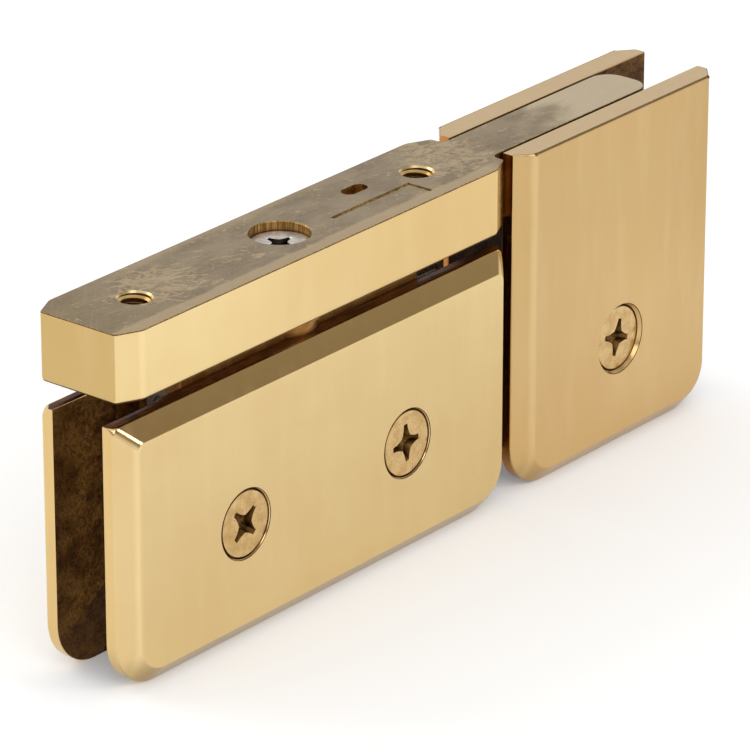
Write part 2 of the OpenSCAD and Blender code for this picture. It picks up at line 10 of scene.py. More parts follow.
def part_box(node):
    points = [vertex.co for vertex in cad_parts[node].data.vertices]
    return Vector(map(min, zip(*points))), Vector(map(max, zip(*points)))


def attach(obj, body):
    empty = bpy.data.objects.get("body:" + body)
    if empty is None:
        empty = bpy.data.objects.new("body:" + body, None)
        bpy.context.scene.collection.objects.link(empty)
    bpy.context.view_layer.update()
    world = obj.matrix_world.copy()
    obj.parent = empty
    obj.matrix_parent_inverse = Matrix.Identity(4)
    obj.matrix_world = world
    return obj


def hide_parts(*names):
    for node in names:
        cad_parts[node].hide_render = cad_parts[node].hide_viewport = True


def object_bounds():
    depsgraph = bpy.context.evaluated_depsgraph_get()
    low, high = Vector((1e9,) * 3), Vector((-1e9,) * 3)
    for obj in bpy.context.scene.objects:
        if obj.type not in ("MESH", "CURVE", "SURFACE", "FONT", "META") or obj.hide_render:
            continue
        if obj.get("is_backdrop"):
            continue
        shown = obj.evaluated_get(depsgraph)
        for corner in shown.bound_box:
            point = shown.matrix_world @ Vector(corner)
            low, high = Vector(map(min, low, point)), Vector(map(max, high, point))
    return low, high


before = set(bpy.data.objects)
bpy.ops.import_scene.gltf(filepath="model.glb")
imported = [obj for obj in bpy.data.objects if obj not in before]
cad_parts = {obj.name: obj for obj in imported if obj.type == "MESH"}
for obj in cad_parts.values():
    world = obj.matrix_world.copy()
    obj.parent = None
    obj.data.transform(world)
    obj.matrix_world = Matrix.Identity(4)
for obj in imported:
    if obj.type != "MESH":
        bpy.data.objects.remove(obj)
cad_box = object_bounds()


# ---- Camera ----
# A long lens from the front left, well above the plates' tops and level from side to side.
# Tones are left as they are, with no look laid over them.

camera_data = bpy.data.cameras.new("camera")
camera_data.lens = 267.4
camera_data.clip_end = 20
camera = bpy.data.objects.new("camera", camera_data)
camera.location = (-0.5872, -0.4935, 0.3033)
camera.rotation_euler = (radians(90 - 23.04), 0, radians(-51.01))
bpy.context.collection.objects.link(camera)
bpy.context.scene.camera = camera
bpy.context.scene.view_settings.view_transform = "Standard"


# ---- Studio ----
# A white floor and a soft white room round the hinge. Polished brass shows the room, so the room
# has one dark brown stretch in front, over the floor, and a small window low down in front.

class Value:
    """A number, colour or vector on its way through a node tree.
    Arithmetic on numbers adds Math nodes."""

    def __init__(self, tree, socket):
        self.tree, self.socket = tree, socket

    def maths(self, operation, *terms):
        return self.tree.add("ShaderNodeMath", {"operation": operation}, dict(enumerate(terms)))

    def __add__(self, other):
        return self.maths("ADD", self, other)

    def __sub__(self, other):
        return self.maths("SUBTRACT", self, other)

    def __rsub__(self, other):
        return self.maths("SUBTRACT", other, self)

    def __mul__(self, other):
        return self.maths("MULTIPLY", self, other)

    def __pow__(self, other):
        return self.maths("POWER", self, other)

    __radd__, __rmul__ = __add__, __mul__

    def most(self, other):
        return self.maths("MAXIMUM", self, other)

    def size(self):
        return self.maths("ABSOLUTE", self)

    def rise(self, low, high, bottom=0.0, top=1.0):
        """Goes smoothly from bottom, at low and below, to top, at high and above."""
        return self.tree.add("ShaderNodeMapRange", {"interpolation_type": "SMOOTHSTEP"},
                             {"Value": self, "From Min": low, "From Max": high,
                              "To Min": bottom, "To Max": top})


def linear(code):
    """Linear colour from a six-figure sRGB code."""
    parts = [int(code[i:i + 2], 16) / 255 for i in (0, 2, 4)]
    return tuple(p / 12.92 if p < 0.04045 else ((p + 0.055) / 1.055) ** 2.4 for p in parts) + (1.0,)


class Nodes:
    """The node tree of a finish, or of the room, being built."""

    def __init__(self, tree):
        self.tree = tree
        tree.nodes.clear()

    def add(self, kind, settings={}, sockets={}, output=0):
        node = self.tree.nodes.new(kind)
        for name, setting in settings.items():
            setattr(node, name, setting)
        for name, value in sockets.items():
            if isinstance(value, Value):
                self.tree.links.new(value.socket, node.inputs[name])
            else:
                node.inputs[name].default_value = value
        return Value(self, node.outputs[output]) if node.outputs else node

    def parts(self, vector):
        """A vector's X, Y and Z."""
        node = self.add("ShaderNodeSeparateXYZ", {}, {0: vector}).socket.node
        return [Value(self, output) for output in node.outputs]

    def mix(self, amount, first, second):
        """The first colour, turned into the second by the amount; a colour may be its code."""
        first, second = [linear(c) if isinstance(c, str) else c for c in (first, second)]
        return self.add("ShaderNodeMix", {"data_type": "RGBA"}, {0: amount, 6: first, 7: second}, 2)


def shade(level):
    """A grey of that linear level."""
    return (level, level, level, 1.0)


world = bpy.data.worlds.new("room")
bpy.context.scene.world = world
world.use_nodes = True
room = Nodes(world.node_tree)
x, y, z = room.parts(room.add("ShaderNodeTexCoord", {}, {}, "Generated"))
light_path = room.add("ShaderNodeLightPath").socket.node
seen_in_metal = Value(room, light_path.outputs["Is Glossy Ray"])
seen_by_camera = Value(room, light_path.outputs["Is Camera Ray"])
in_front = y.rise(-0.62, 0.1, 1.0, 0.0)
above_floor = z.rise(0.1, 0.36)
overhead = z.rise(0.72, 0.9)
curtain = in_front * above_floor * (1.0 - overhead) * seen_in_metal
curtain_brown = (0.25, 0.19, 0.115, 1.0)
colour = room.mix(curtain, shade(1.0), curtain_brown)
room_level = 0.82
gloss_level = 1.0 - (1.0 - in_front) * above_floor * 0.22
level = room_level + (gloss_level - room_level) * seen_in_metal
level = level + (1.0 - level) * seen_by_camera
background = room.add("ShaderNodeBackground", {}, {"Color": colour, "Strength": level})
room.add("ShaderNodeOutputWorld", {}, {"Surface": background})


def lamp(name, location, width, power):
    """A square soft box that faces the middle of the hinge."""
    hinge_middle = Vector((0.02, 0, -0.03))
    data = bpy.data.lights.new(name, "AREA")
    data.shape, data.size, data.energy = "SQUARE", width, power
    box = bpy.data.objects.new(name, data)
    box.location = location
    box.rotation_euler = (hinge_middle - box.location).to_track_quat("-Z", "Y").to_euler()
    box.visible_camera = False
    bpy.context.collection.objects.link(box)


lamp("front_box", (-0.55, -0.75, 0.75), 0.7, 3.0)
lamp("back_box", (-0.25, 0.95, 0.75), 0.7, 3.0)
lamp("window", (0.35, -0.83, 0.44), 0.26, 1.2)

floor_bm = bmesh.new()
bmesh.ops.create_grid(floor_bm, x_segments=1, y_segments=1, size=6)
bmesh.ops.translate(floor_bm, vec=(0, 0, cad_box[0][2]), verts=floor_bm.verts)
floor_mesh = bpy.data.meshes.new("floor")
floor_bm.to_mesh(floor_mesh)
floor_bm.free()
floor = bpy.data.objects.new("floor", floor_mesh)
bpy.context.collection.objects.link(floor)
paper = bpy.data.materials.new("white paper")
paper.use_nodes = True
sheet = Nodes(paper.node_tree)
white = sheet.add("ShaderNodeBsdfDiffuse", {}, {"Color": shade(0.86)})
glow = sheet.add("ShaderNodeEmission", {}, {"Color": shade(1.0), "Strength": 0.18})
lit = sheet.add("ShaderNodeAddShader", {}, {0: white, 1: glow})
sheet.add("ShaderNodeOutputMaterial", {}, {"Surface": lit})
floor_mesh.materials.append(paper)
floor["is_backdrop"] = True


# ---- Header bar ----
# One brass casting: the bar with its bevelled corners, and the tongue that carries the U-clamp.
# Its sides are ground and polished. The mounting face is left raw, drilled and tapped for the
# two header screws, counterbored over the pin's screw, and has a slot and a scribed corner.

def node_box(name):
    """A CAD node's lowest and highest corners, in millimetres."""
    return [Vector(corner) * 1000 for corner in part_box(name)]


low, high = node_box("header_block")
half_l, half_w, block_h, tip = -low.x, high.y, -low.z, high.x
tongue_t = 9.5
corner_l, corner_w = 4, 1.9
tip_round, shoulder_round, corner_round, lower_round, top_round = 3.5, 1.2, 0.4, 0.8, 0.16
tap_x, tap_mouth, tap_core, tap_root, tap_pitch = 32.5, 2.75, 2.1, 2.5, 0.8
tap_chamfer, tap_start, tap_turns = 0.3, 0.55, 12.4
cbore_r, cbore_floor, cbore_chamfer, seat_drop, screw_hole_r = 4.75, 1.55, 0.12, 2.2, 2.55
slot_x, slot_y, slot_l, slot_w, slot_depth = 20.8, 2.7, 5, 2.6, 2
scribe_x, scribe_y, scribe_l, scribe_w, scribe_line, scribe_depth = 28.1, -1.85, 18.6, 4.8, 0.8, 0.3
marks_from, marks_to, marks_half_w = 9, 29, 6.7
pin_r, spigot_flats, spigot_socket = 3.5, 5.3, 5.55
dowel_z, dowel_r = -5.5, 2.0
dowel_places = [sum(c.x for c in node_box(f"tongue_dowel_{end}")) / 2 for end in ("left", "right")]
hands = (-1, 1)


def sharp(bm, angle=20):
    """The edges where two faces meet at more than the angle."""
    return [e for e in bm.edges if len(e.link_faces) == 2 and e.calc_face_angle(0) > radians(angle)]


def soften(bm, edges, width, segments=2):
    """Rounds edges over by the width."""
    bmesh.ops.bevel(bm, geom=edges, offset=width, offset_type="OFFSET", affect="EDGES",
                    segments=segments, profile=0.5, material=-1, clamp_overlap=False)


def raise_face(bm, face, by):
    """Extrudes a face and moves its new end; gives the end face back."""
    made = bmesh.ops.extrude_face_region(bm, geom=[face])["geom"]
    bmesh.ops.translate(bm, vec=by, verts=[g for g in made if isinstance(g, bmesh.types.BMVert)])
    return next(g for g in made if isinstance(g, bmesh.types.BMFace))


def face_at(bm, normal, point):
    """The largest flat face with that normal in the plane through the point."""
    normal, point = Vector(normal), Vector(point)
    near = [f for f in bm.faces if f.normal.dot(normal) > 0.999
            and abs((f.calc_center_median() - point).dot(normal)) < 0.02]
    return max(near, key=lambda f: f.calc_area())


def verts_of(edges):
    """The points at the ends of edges, each once."""
    return list({v for e in edges for v in e.verts})


def ring(bm, centre, axis, radius, segments=48):
    """A ring of edges round an axis."""
    place = Matrix.Translation(centre) @ Vector(axis).to_track_quat("Z", "Y").to_matrix().to_4x4()
    verts = bmesh.ops.create_circle(bm, segments=segments, radius=radius, matrix=place)["verts"]
    return list({e for v in verts for e in v.link_edges})


def fill(bm, edges):
    """Fills what flat rings of edges enclose; a ring inside another stays open."""
    bmesh.ops.triangle_fill(bm, use_beauty=True, edges=edges)


def open_face(bm, face, rings):
    """Cuts rings of edges that lie in a face out of it."""
    edges = list(face.edges)
    bmesh.ops.delete(bm, geom=[face], context="FACES_ONLY")
    fill(bm, edges + [e for r in rings for e in r])


def carry(bm, edges, by, factor=1.0, centre=(0, 0, 0)):
    """Extrudes a ring of edges, scales the new ring about a centre and moves it."""
    made = bmesh.ops.extrude_edge_only(bm, edges=edges)["geom"]
    verts = [g for g in made if isinstance(g, bmesh.types.BMVert)]
    bmesh.ops.scale(bm, vec=(factor,) * 3, space=Matrix.Translation(-Vector(centre)), verts=verts)
    bmesh.ops.translate(bm, vec=by, verts=verts)
    return [g for g in made if isinstance(g, bmesh.types.BMEdge) and set(g.verts) <= set(verts)]


def bore(bm, edges, centre, axis, stations):
    """Carries a ring along its axis through stations of radius and depth."""
    axis, centre = Vector(axis), Vector(centre)
    for (r0, d0), (r1, d1) in zip(stations, stations[1:]):
        edges = carry(bm, edges, axis * (d1 - d0), r1 / r0, centre + axis * d0)
    return edges


def thread(bm, centre, axis, crest, root, pitch, turns, steps=28):
    """A screw thread's ridge, wound from the centre along the axis; its root lies in the wall."""
    axis = Vector(axis)
    outwards = axis.orthogonal().normalized()
    profile = [(root, -0.44), (crest, -0.07), (crest, 0.07), (root, 0.44)]
    verts = [bm.verts.new(Vector(centre) + outwards * r + axis * (h * pitch)) for r, h in profile]
    edges = [bm.edges.new((verts[i - 1], verts[i])) for i in range(4)]
    count = int(turns * steps)
    made = bmesh.ops.spin(bm, geom=verts + edges, cent=centre, axis=axis, dvec=axis * (pitch / steps),
                          angle=2 * pi * turns, steps=count)["geom_last"]
    bmesh.ops.holes_fill(bm, edges=edges + [g for g in made if isinstance(g, bmesh.types.BMEdge)])


def mark(bm, choose):
    """Notes each face's finish by number now, before the piece is turned into its place."""
    layer = bm.faces.layers.int.new("finish")
    for face in bm.faces:
        face[layer] = choose(face)


def finish_piece(name, bm, body, node, finishes, smooth=32):
    """Makes the mesh, drawn in millimetres, into a piece that stands for a CAD node."""
    layer = bm.faces.layers.int.get("finish")
    for face in bm.faces:
        face.smooth = True
        face.material_index = face[layer] if layer else 0
    bmesh.ops.remove_doubles(bm, verts=bm.verts, dist=0.004)
    bmesh.ops.recalc_face_normals(bm, faces=bm.faces)
    bmesh.ops.scale(bm, vec=(0.001,) * 3, verts=bm.verts)
    mesh = bpy.data.meshes.new(name)
    bm.to_mesh(mesh)
    bm.free()
    mesh.set_sharp_from_angle(angle=radians(smooth))
    for finish in finishes:
        mesh.materials.append(finish)
    piece = bpy.data.objects.new(name, mesh)
    bpy.context.collection.objects.link(piece)
    piece.modifiers.new("flat faces", "WEIGHTED_NORMAL").keep_sharp = True
    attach(piece, body)
    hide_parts(node)


class Finish(Nodes):
    """A metal or plastic finish, built on the piece's own millimetres."""

    def __init__(self, name):
        self.material = bpy.data.materials.new(name)
        self.material.use_nodes = True
        super().__init__(self.material.node_tree)
        place = self.add("ShaderNodeTexCoord", {}, {}, "Object")
        self.mm = self.add("ShaderNodeVectorMath", {"operation": "SCALE"}, {0: place, "Scale": 1000.0})

    def noise(self, scale, detail=3.0, stretch=(1, 1, 1), roughness=0.5, distortion=0.0, turn=0.0):
        """Cloudy noise from 0 to 1, scale features a millimetre, turned about Z and then stretched."""
        place = self.add("ShaderNodeMapping", {}, {"Vector": self.mm, "Rotation": (0, 0, radians(turn))})
        place = self.add("ShaderNodeMapping", {}, {"Vector": place, "Scale": stretch})
        return self.add("ShaderNodeTexNoise", {}, {"Vector": place, "Scale": scale, "Detail": detail,
                                                   "Roughness": roughness, "Distortion": distortion})

    def lines(self, place, scale, detail=3.0):
        """Uneven lines from 0 to 1 across one measure of the piece, such as its length."""
        return self.add("ShaderNodeTexNoise", {"noise_dimensions": "1D"},
                        {"W": place, "Scale": scale, "Detail": detail})

    def bump(self, height, depth, strength=1.0):
        """A normal from a height from 0 to 1; the depth is in metres."""
        return self.add("ShaderNodeBump", {}, {"Height": height, "Distance": depth, "Strength": strength})

    def shaded(self, colour, roughness, metallic=1.0, normal=None):
        sockets = {"Base Color": colour, "Roughness": roughness, "Metallic": metallic}
        if normal:
            sockets["Normal"] = normal
        shader = self.add("ShaderNodeBsdfPrincipled", {}, sockets)
        self.add("ShaderNodeOutputMaterial", {}, {"Surface": shader})
        return self.material


def polished_brass(name, code, changes=(), dull=0.0, corner=None, painted_shade_under=0.0):
    """Brass ground smooth and buffed: fine upright lines, a slow cloudiness and a few hazy spots.
    Each change is an axis, two stations on it, and the colour it goes over to between them, by an
    amount. A painted highlight lightens the corner, a station on X; painted shade browns faces looking down."""
    metal = Finish(name)
    places = metal.parts(metal.mm)
    cloud = metal.noise(0.05, 2.0, (1, 1, 1.6))
    lines = metal.noise(1.0, 4.0, (2.2, 2.2, 0.05))
    streaks = metal.noise(0.16, 3.0, (1.6, 1.6, 0.3), 0.6)
    haze = metal.noise(0.5, 3.0).rise(0.45, 0.75)
    colour = code
    for axis, start, end, other, amount in changes:
        colour = metal.mix(places[axis].rise(start, end, 0.0, amount), colour, other)
    colour = metal.mix(cloud.rise(0.3, 0.7) * 0.12 + lines * 0.05, colour, "C79A5E")
    colour = metal.mix(streaks.rise(0.4, 0.7) * 0.045, colour, "FBEFC8")
    if corner is not None:
        # Painted highlight: a soft light band along the upright corner, standing in for a reflection.
        painted_highlight = (places[0] + (streaks - 0.5) * 0.6 - corner).size().rise(0.1, 0.9, 0.2, 0.0)
        colour = metal.mix(painted_highlight, colour, "F8E2AC")
    if painted_shade_under:
        # Painted shade: faces that look down are browned, for the shaded floor they mirror.
        facing = metal.parts(metal.add("ShaderNodeNewGeometry", {}, {}, "Normal"))[2]
        colour = metal.mix(facing.rise(-0.7, -0.15, painted_shade_under, 0.0), colour, "7A5C34")
    roughness = 0.13 + dull + haze * 0.05 + lines * 0.05
    return metal.shaded(colour, roughness, normal=metal.bump(lines + cloud * 3.0, 4e-6, 0.25))


def raw_cast_top():
    """The raw mounting face: grey-brown casting skin, browner at the left end, with fine scratches,
    pale scrapes by the holes, edges rubbed lighter front and back, and the tongue ground clean."""
    metal = Finish("raw cast brass")
    x, y = metal.parts(metal.mm)[:2]
    patches = metal.noise(0.16, 5.0, (0.6, 1.2, 1), 0.6)
    fleck = metal.noise(1.3, 5.0, roughness=0.75)
    scratches = metal.noise(1.0, 4.0, (0.07, 2.2, 1), 0.65, turn=8)
    crossing = metal.noise(1.0, 3.0, (0.1, 2.0, 1), 0.6, turn=-38)
    colour = metal.mix(patches.rise(0.38, 0.62), "84745C", "9A8A70")
    tarnish = (patches * 14.0 - x * 0.5).rise(19.0, 30.0)
    colour = metal.mix(tarnish * 0.5, colour, "85704A")
    colour = metal.mix(fleck.rise(0.35, 0.7) * 0.4, colour, "A8977A")
    scored = scratches.rise(0.56, 0.68) * 0.3 + crossing.rise(0.6, 0.7) * 0.25
    colour = metal.mix(scored, colour, "B4A487")
    left_hole = ((x + 27.0) ** 2.0 + (y * 1.3 - 1.0) ** 2.0).rise(16.0, 110.0, 1.0, 0.0)
    right_hole = ((x - 40.0) ** 2.0 + (y - 1.0) ** 2.0).rise(12.0, 100.0, 1.0, 0.0)
    by_hole = left_hole.most(right_hole)
    scrapes = metal.noise(0.42, 6.0, (0.7, 1.1, 1), 0.62, 1.8, 25)
    veins = metal.noise(0.2, 6.0, (0.8, 1.1, 1), 0.6, 1.5, 25)
    scraped = (scrapes + by_hole * 0.12).rise(0.6, 0.645)
    scraped = scraped.most((veins - 0.5).size().rise(0.006, 0.03, 1.0, 0.0) * by_hole)
    colour = metal.mix(scraped * 0.65, colour, "C4AB86")
    edge = (y * -1.0 + (patches - 0.5) * 1.4 + (fleck - 0.5) * 0.5).rise(6.2, 6.9)
    edge = edge * x.rise(40.0, 45.0, 1.0, 0.0)
    far_edge = (y + (patches - 0.5) * 3.0).rise(6.6, 8.4) * x.rise(-32.0, -18.0)
    far_edge = far_edge * x.rise(10.0, 22.0, 1.0, 0.0)
    colour = metal.mix((edge * 0.8).most(far_edge * 0.5), colour, "B8A17E")
    ground = (x + (patches - 0.5) * 26.0).rise(60.0, 72.0)
    brushed = metal.noise(1.0, 3.0, (0.05, 3.0, 1), 0.5)
    ground_brass = metal.mix(brushed, "BEAC8C", "D2C09E")
    colour = metal.mix(ground * 0.85, colour, ground_brass)
    roughness = 0.5 - edge * 0.08 - ground * 0.14 + fleck * 0.1
    height = patches * 0.6 + fleck * 0.4 - scored * 0.4 + scraped * 0.3
    return metal.shaded(colour, roughness, 0.7, metal.bump(height, 8e-5, 0.7))


def raw_dark(name, dark, light, metallic=1.0):
    """Dark, dull and grainy metal: raw metal that stays out of sight, and painted shade in recesses, gaps and
    dark edges.
    """
    metal = Finish(name)
    patches = metal.noise(0.3, 5.0, roughness=0.6)
    grain = metal.noise(2.0, 3.0)
    colour = metal.mix(patches.rise(0.35, 0.7) * 0.7 + grain * 0.2, dark, light)
    return metal.shaded(colour, 0.42 + grain * 0.1, metallic, metal.bump(patches + grain * 0.5, 8e-5, 0.6))


def scored_brass():
    """The floor of the scribed lines and of the slot: bare brass, torn by the cutter."""
    metal = Finish("scored brass")
    torn = metal.noise(1.6, 4.0, roughness=0.65)
    colour = metal.mix(torn.rise(0.4, 0.65), "7C6034", "B89A66")
    return metal.shaded(colour, 0.45, 0.4, metal.bump(torn, 1e-4, 0.8))


def bored_brass():
    """The counterbore's wall, brown and streaked by the cutter as it was drawn out, with painted shade
    darkening it towards its floor.
    """
    metal = Finish("bored brass")
    z = metal.parts(metal.mm)[2]
    streaks = metal.noise(1.0, 4.0, (3.0, 3.0, 0.12), 0.6)
    patches = metal.noise(0.6, 3.0)
    colour = metal.mix(streaks.rise(0.4, 0.62), "8A6434", "C9A468")
    # Painted shade: darker patches lower down the wall, towards the floor of the counterbore.
    colour = metal.mix(patches * z.rise(-1.5, -0.6, 1.0, 0.0), colour, "7A4E22")
    return metal.shaded(colour, 0.3 + streaks * 0.1, 0.9, metal.bump(streaks, 6e-5, 0.7))


bar = bmesh.new()
right = [(half_l - corner_l, -half_w), (half_l, corner_w - half_w), (half_l, -tongue_t / 2),
         (tip, -tongue_t / 2)]
left = [(corner_l - half_l, half_w), (-half_l, half_w - corner_w)]
plan = left + [(x, -y) for x, y in reversed(left)] + right + [(x, -y) for x, y in reversed(right)]
top_face = bar.faces.new([bar.verts.new((x, y, 0)) for x, y in plan])
raise_face(bar, top_face, (0, 0, -block_h))
bmesh.ops.recalc_face_normals(bar, faces=bar.faces)


def uprights(bm, x, width=half_w):
    """The upright edges at a station along the bar, within a width of its middle."""
    places = [(e, e.verts[0].co) for e in bm.edges if abs(e.verts[0].co.z - e.verts[1].co.z) > block_h / 2]
    return [e for e, place in places if abs(place.x - x) < 0.01 and abs(place.y) < width]


soften(bar, uprights(bar, tip), tip_round, 8)
soften(bar, uprights(bar, half_l, half_w - corner_w - 0.1), shoulder_round, 5)
corners = [e for e in sharp(bar) if abs(e.verts[0].co.z - e.verts[1].co.z) > block_h / 2]
soften(bar, corners, corner_round, 4)
lower = [e for e in sharp(bar) if all(v.co.z < 0.5 - block_h for v in e.verts)]
shoulder_w = tongue_t / 2 + shoulder_round + 0.05
clear = [e for e in lower if all(v.co.x < half_l - 0.01 or abs(v.co.y) > shoulder_w for v in e.verts)]
soften(bar, clear, lower_round, 4)
soften(bar, [e for e in sharp(bar) if all(v.co.z > -0.01 for v in e.verts)], top_round)

mouths = [ring(bar, (hand * tap_x, 0, 0), (0, 0, -1), tap_mouth) for hand in hands]
counterbore = ring(bar, (0, 0, 0), (0, 0, -1), cbore_r + cbore_chamfer)
slot_edges = ring(bar, (0, 0, 0), (0, 0, 1), slot_w / 2, 26)
for v in verts_of(slot_edges):
    v.co += Vector((slot_x + (1 if v.co.x > 0 else -1) * (slot_l - slot_w) / 2, slot_y, 0))
inner_x, inner_y = scribe_x - scribe_line, scribe_y - scribe_line
scribed = [(scribe_x - scribe_l, inner_y), (inner_x, inner_y), (inner_x, scribe_y - scribe_w),
           (scribe_x, scribe_y - scribe_w), (scribe_x, scribe_y), (scribe_x - scribe_l, scribe_y)]
corner_verts = [bar.verts.new((x, y, 0)) for x, y in scribed]
corner_edges = [bar.edges.new((corner_verts[i - 1], corner_verts[i])) for i in range(6)]
open_face(bar, face_at(bar, (0, 0, 1), (0, 0, 0)), mouths + [counterbore, slot_edges, corner_edges])

exits = [ring(bar, (hand * tap_x, 0, -block_h), (0, 0, -1), tap_root) for hand in hands]
socket = ring(bar, (0, 0, -block_h), (0, 0, -1), pin_r)
for v in verts_of(socket):
    v.co.y = max(-spigot_flats / 2, min(spigot_flats / 2, v.co.y))
open_face(bar, face_at(bar, (0, 0, -1), (0, 0, -block_h)), exits + [socket])
for hand in hands:
    ends = [ring(bar, (x, hand * tongue_t / 2, dowel_z), (0, 1, 0), dowel_r, 32) for x in dowel_places]
    open_face(bar, face_at(bar, (0, hand, 0), (tip, hand * tongue_t / 2, dowel_z)), ends)
    if hand < 0:
        for end in ends:
            carry(bar, end, (0, tongue_t, 0))

down = (0, 0, -1)
for hand, mouth in zip(hands, mouths):
    bore(bar, mouth, (hand * tap_x, 0, 0), down,
         [(tap_mouth, 0), (tap_root, tap_chamfer), (tap_root, block_h)])
    thread(bar, (hand * tap_x, 0, -tap_start), down, tap_core, tap_root + 0.03, tap_pitch, tap_turns)
throat = bore(bar, counterbore, (0, 0, 0), down,
              [(cbore_r + cbore_chamfer, 0), (cbore_r, cbore_chamfer), (cbore_r, cbore_floor),
               (cbore_r - 0.05, cbore_floor + 0.05), (screw_hole_r, cbore_floor + seat_drop),
               (screw_hole_r, block_h - spigot_socket)])
roof = carry(bar, socket, (0, 0, spigot_socket))
fill(bar, roof + throat)
fill(bar, carry(bar, slot_edges, (0, 0, -slot_depth)))
fill(bar, carry(bar, corner_edges, (0, 0, -scribe_depth)))
bmesh.ops.recalc_face_normals(bar, faces=bar.faces)

sides, mounting_face, raw_and_painted_shade, scored, tapped, left_end, bored = range(7)


def bar_finish_of(face):
    """The finish of one of the bar's faces, by where it lies and which way it faces."""
    centre, normal = face.calc_center_median(), face.normal
    if centre.z > -0.01:
        return mounting_face
    if min(hypot(centre.x - hand * tap_x, centre.y) for hand in hands) < tap_mouth:
        return tapped
    if hypot(centre.x, centre.y) < cbore_r + 0.3:
        return bored
    if centre.z > -slot_depth - 0.1 and normal.z > 0.9:
        return scored
    # Dark raw finish: the underside is raw and darkened where shade falls; the thin rounds along the top
    # edges take it as a painted shade line.
    if centre.z > -top_round - 0.01 and normal.z > 0.2 or normal.z < -0.5:
        return raw_and_painted_shade
    if normal.x < -0.9:
        return left_end
    if centre.z > -slot_depth and abs(centre.y) < marks_half_w and marks_from < centre.x < marks_to:
        return scored if centre.z > -scribe_depth + 0.1 else tapped
    # The faces at the bar's right end take the dark finish as painted shade, in the gap by the U plates.
    return raw_and_painted_shade if centre.x > half_l - 0.05 else sides


mark(bar, bar_finish_of)
bevel_x = corner_l - half_l
# Painted shade: the front grows darker towards the right end and the left bevel is darkened against the
# front; the corner station places a painted highlight.
bar_brass = polished_brass("polished bar brass", "EBD299",
                           [(0, -45, 40, "DABB80", 1), (0, bevel_x, bevel_x - 1, "B08C54", 0.13)],
                           corner=bevel_x)
# Painted shade: the tapped holes' and the slot's walls go from a light mouth to dark brown lower down.
thread_painted_shade = [(2, -2.8, -0.9, "C09A5C", 1), (2, -0.9, -0.25, "E6D09C", 1)]
finish_piece("bar_with_tongue", bar, "header", "header_block",
             [bar_brass, raw_cast_top(), raw_dark("raw bar brass and painted shade", "5A4020", "8A6A3A"), scored_brass(),
              polished_brass("tapped brass", "8A5A2C", thread_painted_shade, 0.1),
              polished_brass("bar end brass", "C8AA70"), bored_brass()])


# ---- Door plates ----
# Two cast brass plates that grip the door glass, bevelled and polished outside and raw inside, with
# a seat and a hollow that fit the pivot body. The front one is countersunk for the clamp screws, the
# back one has bosses tapped for them.

low, high = node_box("door_front_plate")
door_l, door_h, door_top = high.x - low.x, high.z - low.z, high.z
plate_t, edge_t, bevel_w, corner_r = 4.4, 2.0, 2.8, 8
mitre_round, rim_round, edge_round = 1.2, 0.22, 0.14
door_y = -low.y - plate_t
body_low, body_high = node_box("pivot_body")
barrel_r = body_high.y
seat_t, seat_margin, barrel_gap, past = 0.6, 4.4, 0.1, 1
screw_x, screw_z, head_r, shank_hole_r = 19, -38, 5.28, 3.2
door_sink, lip_play, mouth_slope, mouth_break, mouth_break_h = 0.2, 0.22, 0.38, 0.1, 0.08
boss_r, boss_h, boss_chamfer, boss_tap_r, tap_wall = 5.0, 3.0, 0.2, 2.5, 1.8


def raw_cast_inside():
    """The raw inner side of a plate: brown casting skin, pitted, with golden scratches."""
    metal = Finish("raw plate brass")
    patches = metal.noise(0.25, 6.0, roughness=0.62)
    grain = metal.noise(1.8, 5.0, roughness=0.7)
    pits = metal.noise(1.3, 4.0, roughness=0.75).rise(0.46, 0.68)
    rubbed = metal.noise(0.3, 5.0, (1, 1, 0.7), 0.6, 0.8).rise(0.52, 0.68)
    strokes = metal.noise(1.0, 3.0, (0.12, 1, 2.2), 0.6).rise(0.6, 0.7)
    colour = metal.mix(patches.rise(0.35, 0.65), "583612", "845C2A")
    colour = metal.mix(rubbed * 0.35, colour, "96683A")
    colour = metal.mix(strokes * 0.15, colour, "B78A4A")
    colour = metal.mix(grain.rise(0.5, 0.7) * 0.5, colour, "2A1806")
    colour = metal.mix(pits * 0.55, colour, "241404")
    roughness = 0.58 - rubbed * 0.1 - strokes * 0.06
    height = patches + grain * 0.7 - pits * 0.5
    return metal.shaded(colour, roughness, 0.9, metal.bump(height, 3.5e-4, 0.8))


def combine(bm, tool, operation):
    """Joins the tool's solid to the piece's, or takes it away."""
    blanks = []
    for source in (bm, tool):
        mesh = bpy.data.meshes.new("blank")
        bmesh.ops.recalc_face_normals(source, faces=source.faces)
        source.to_mesh(mesh)
        blanks.append(bpy.data.objects.new("blank", mesh))
        bpy.context.collection.objects.link(blanks[-1])
    modifier = blanks[0].modifiers.new("combine", "BOOLEAN")
    modifier.operation, modifier.solver, modifier.object = operation, "EXACT", blanks[1]
    whole = blanks[0].evaluated_get(bpy.context.evaluated_depsgraph_get())
    bm.clear()
    bm.from_mesh(whole.to_mesh())
    tool.free()
    for mesh in [blank.data for blank in blanks]:
        bpy.data.meshes.remove(mesh)


def merge_flats(bm):
    """Makes one face of neighbours that lie flat with each other."""
    bmesh.ops.dissolve_limit(bm, angle_limit=radians(0.5), verts=bm.verts, edges=bm.edges)


def rod(centre, axis, radius, length, segments=48):
    """A round bar of its own, starting at the centre."""
    bm = bmesh.new()
    start = ring(bm, centre, axis, radius, segments)
    end = bore(bm, start, centre, axis, [(radius, 0), (radius, length)])
    fill(bm, start)
    fill(bm, end)
    return bm


